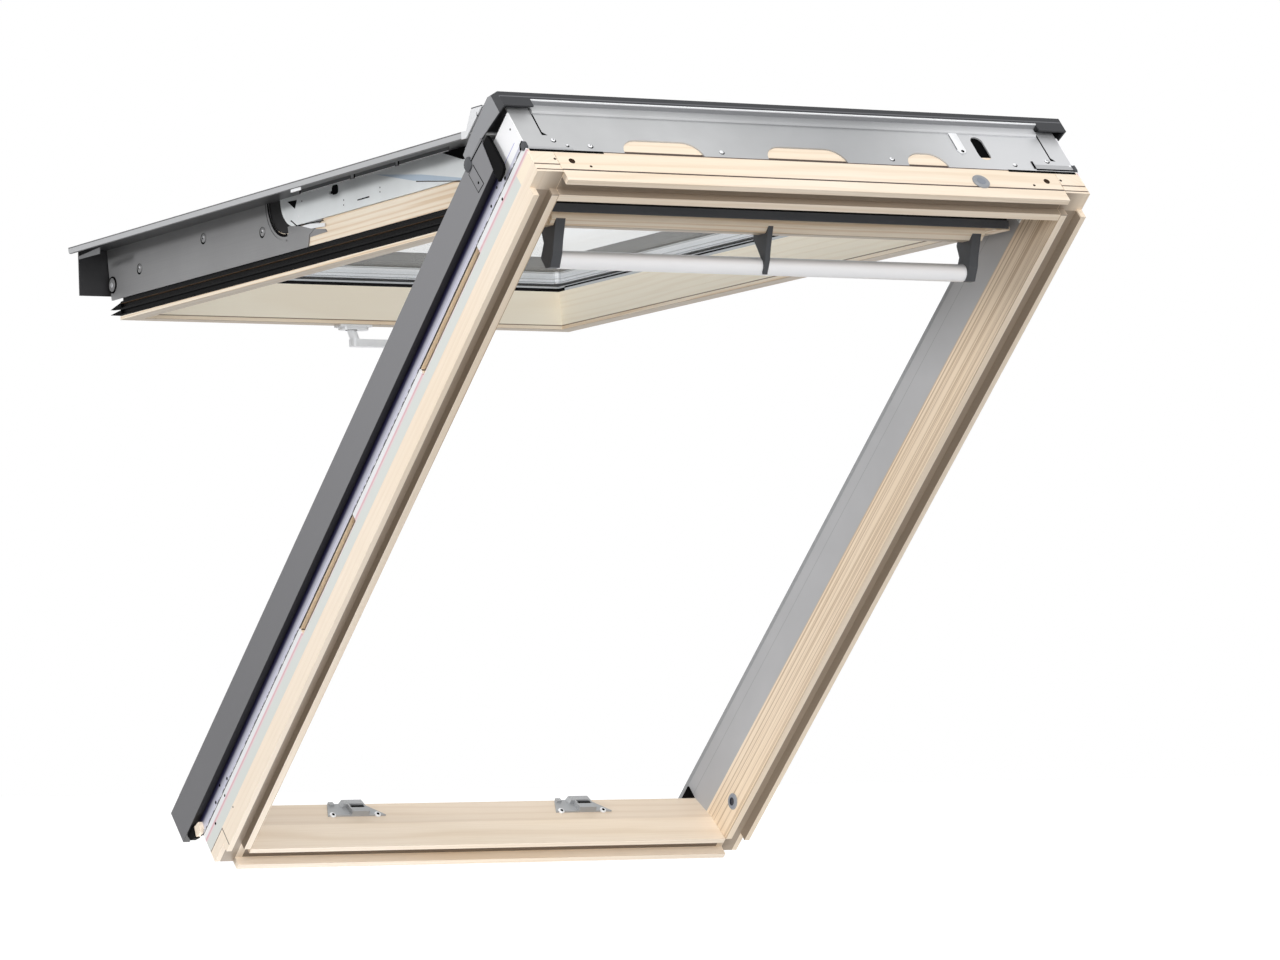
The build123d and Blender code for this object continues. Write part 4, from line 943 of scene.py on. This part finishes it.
# bush of the bolt in the right jamb
bush = {
    "centre": (1095, 11.5), "ring": ((11, 354.5), (11, 353.2), (9.6, 352.5), (7, 353)),
    "core": ((7.2, 353.4), (7.2, 352.9), (1, 352.9)),
}
bushRing = Piece("bush_ring", "frame", "ringGrey")
bushCore = Piece("bush_core", "frame", "boltBush")
bushRing.turned("x", bush["centre"], bush["ring"], 32)
bushCore.turned("x", bush["centre"], bush["core"])
bushRing.done()
bushCore.done()

# keepers: screws and shadow gaps; profiles and levels are measured down the slope
keeper = {
    "screws": (-209.4, -143.8, 131.5, 194.9), "screwOut": 54,
    "head": ((4.4, 1154.2), (4.4, 1152.4), (3.2, 1151.4), (1, 1151.3)),
    "recess": ((2.0, 1151.6), (2.0, 1151.1), (0.5, 1151.1)), "recessOut": 53.6,
    "gaps": ((-180, 62, -161, 67.5), (160, 62, 179, 67.5)), "gapLevels": (1150.0, 1149.7),
}
keeperScrews = Piece("keeper_screws", "frame", "whiteZinc")
keeperDark = Piece("keeper_gaps", "frame", "gapShade")
for x in keeper["screws"]:
    keeperScrews.turned("d", (x, keeper["screwOut"]), keeper["head"], 20)
    keeperDark.turned("d", (x, keeper["recessOut"]), keeper["recess"], 12)
for gap in keeper["gaps"]:
    keeperDark.prism("d", box(*gap), *keeper["gapLevels"])
keeperScrews.done()
keeperDark.done()

# slate lip under the dark casing, wood block and black plug at the foot of the side covers
edging = {
    "lip": (45.2, 51.2, 46.2, 61.5), "lipHalf": 342,
    "block": ((1168, 60), (1181, 64), (1186, 51), (1177, 48), (1170, 50)), "blockReach": (390.2, 396),
    "plug": ((1181, 66), (1187, 50), (1199, 57), (1204, 78), (1196, 92), (1181, 88)),
    "plugReach": (390.2, 397.5),
}
casingLip = Piece("casing_lip", "sash", "slate")
casingLip.prism("x", box(*edging["lip"]), -edging["lipHalf"], edging["lipHalf"])
casingLip.done()
footBlock = Piece("cover_foot_blocks", "frame", "pineStile")
footPlug = Piece("cover_foot_plugs", "frame", "blackRubber")
for sign in sides.values():
    footBlock.slab(sign, edging["block"], edging["blockReach"])
    footPlug.slab(sign, edging["plug"], edging["plugReach"])
footBlock.done()
footPlug.done()
print("small pieces placed")

# camera, light and floor

cameraSet = {
    "place": (-3.9415, -6.2750, -0.5212), "azimuth": 30.516, "elevation": -1.172, "roll": 0.047,
    "lens": 174.13, "sensor": 36, "clip": 60,
}
scene = bpy.context.scene
scene.view_settings.view_transform = "Standard"
camera = bpy.data.objects.new("camera", bpy.data.cameras.new("camera"))
scene.collection.objects.link(camera)
camera.data.lens = cameraSet["lens"]
camera.data.sensor_width = cameraSet["sensor"]
camera.data.clip_end = cameraSet["clip"]
turn, lift = radians(cameraSet["azimuth"]), radians(cameraSet["elevation"])
ahead = Vector((sin(turn) * cos(lift), cos(turn) * cos(lift), -sin(lift)))
aside = Vector((cos(turn), -sin(turn), 0))
above = aside.cross(ahead)
roll = radians(cameraSet["roll"])
aside, above = aside * cos(roll) + above * sin(roll), above * cos(roll) - aside * sin(roll)
facing = Matrix((aside, above, -ahead)).transposed().to_4x4()
camera.matrix_world = Matrix.Translation(cameraSet["place"]) @ facing
bpy.context.scene.camera = camera

studio = {
    "floor": -1.75, "floorSpan": 30, "floorTone": (0.28, 0.3), "floorGlow": 0.86,
    "upper": 0.6, "lower": 0.05, "skyEdge": (-0.5, 0.35),  # strength of the sky above and below
    "lamps": {  # place, size, watts; each looks at the aim
        "top": ((-1.25, -2.65, 3.35), 1.7, 48), "front": ((-1.5, -6.0, 1.4), 3.0, 190),
        "side": ((-3.4, 0.75, 0.35), 0.5, 44), "back": ((-1.0, 4.2, 3.4), 3.0, 40),
        "under": ((-0.05, 0.85, -1.55), 1.0, 6),
    },
    "aim": (0, 0.45, -0.35),
}


def seenBy(finish, first, *others):
    # 1 for the named kinds of rays
    seen = finish.node("ShaderNodeLightPath", {}, {}, f"Is {first} Ray")
    for kind in others:
        seen = seen.most(finish.node("ShaderNodeLightPath", {}, {}, f"Is {kind} Ray"))
    return seen


sky = Finish("studio sky")  # borrows the helper's nodes, then moves them to the world
world = bpy.data.worlds.new("studio")
scene.world = world
world.use_nodes = True
sky.tree = world.node_tree
seen = seenBy(sky, "Camera", "Glossy", "Transmission")
upward = sky.dot(sky.node("ShaderNodeTexCoord", {}, {}, "Generated"), (0, 0, 1))
skyLight = upward.ramp(*studio["skyEdge"]) * (studio["upper"] - studio["lower"]) + studio["lower"]
background = world.node_tree.nodes["Background"]
background.inputs["Color"].default_value = (1, 1, 1, 1)
sky.put(background.inputs["Strength"], seen + (1 - seen) * skyLight)

for name, (spot, size, power) in studio["lamps"].items():
    lamp = bpy.data.lights.new(name, "AREA")
    lamp.shape = "DISK"
    lamp.size = size
    lamp.energy = power
    holder = bpy.data.objects.new(name, lamp)
    scene.collection.objects.link(holder)
    holder.location = spot
    holder.rotation_euler = (Vector(studio["aim"]) - Vector(spot)).to_track_quat("-Z", "Y").to_euler()

floorMesh = bpy.data.meshes.new("floor")
span = studio["floorSpan"]
floorCorners = [(x, y, studio["floor"]) for x, y in box(-span, -span, span, span)]
floorMesh.from_pydata(floorCorners, [], [(0, 1, 2, 3)])
floor = bpy.data.objects.new("floor", floorMesh)
scene.collection.objects.link(floor)
paleFloor = Finish("pale floor")
floorGlow = paleFloor.mix(seenBy(paleFloor, "Camera", "Glossy"), (0, 0, 0), (1, 1, 1))  # for the eye alone
dullFloor, brightFloor = studio["floorTone"]
floorColour = paleFloor.mix(paleFloor.noise(paleFloor.spot, 2.0, 2), (dullFloor,) * 3, (brightFloor,) * 3)
floorMesh.materials.append(paleFloor.end(
    Base_Color=floorColour, Roughness=0.8, Emission_Color=floorGlow, Emission_Strength=studio["floorGlow"]))
print("camera, lamps and floor placed")
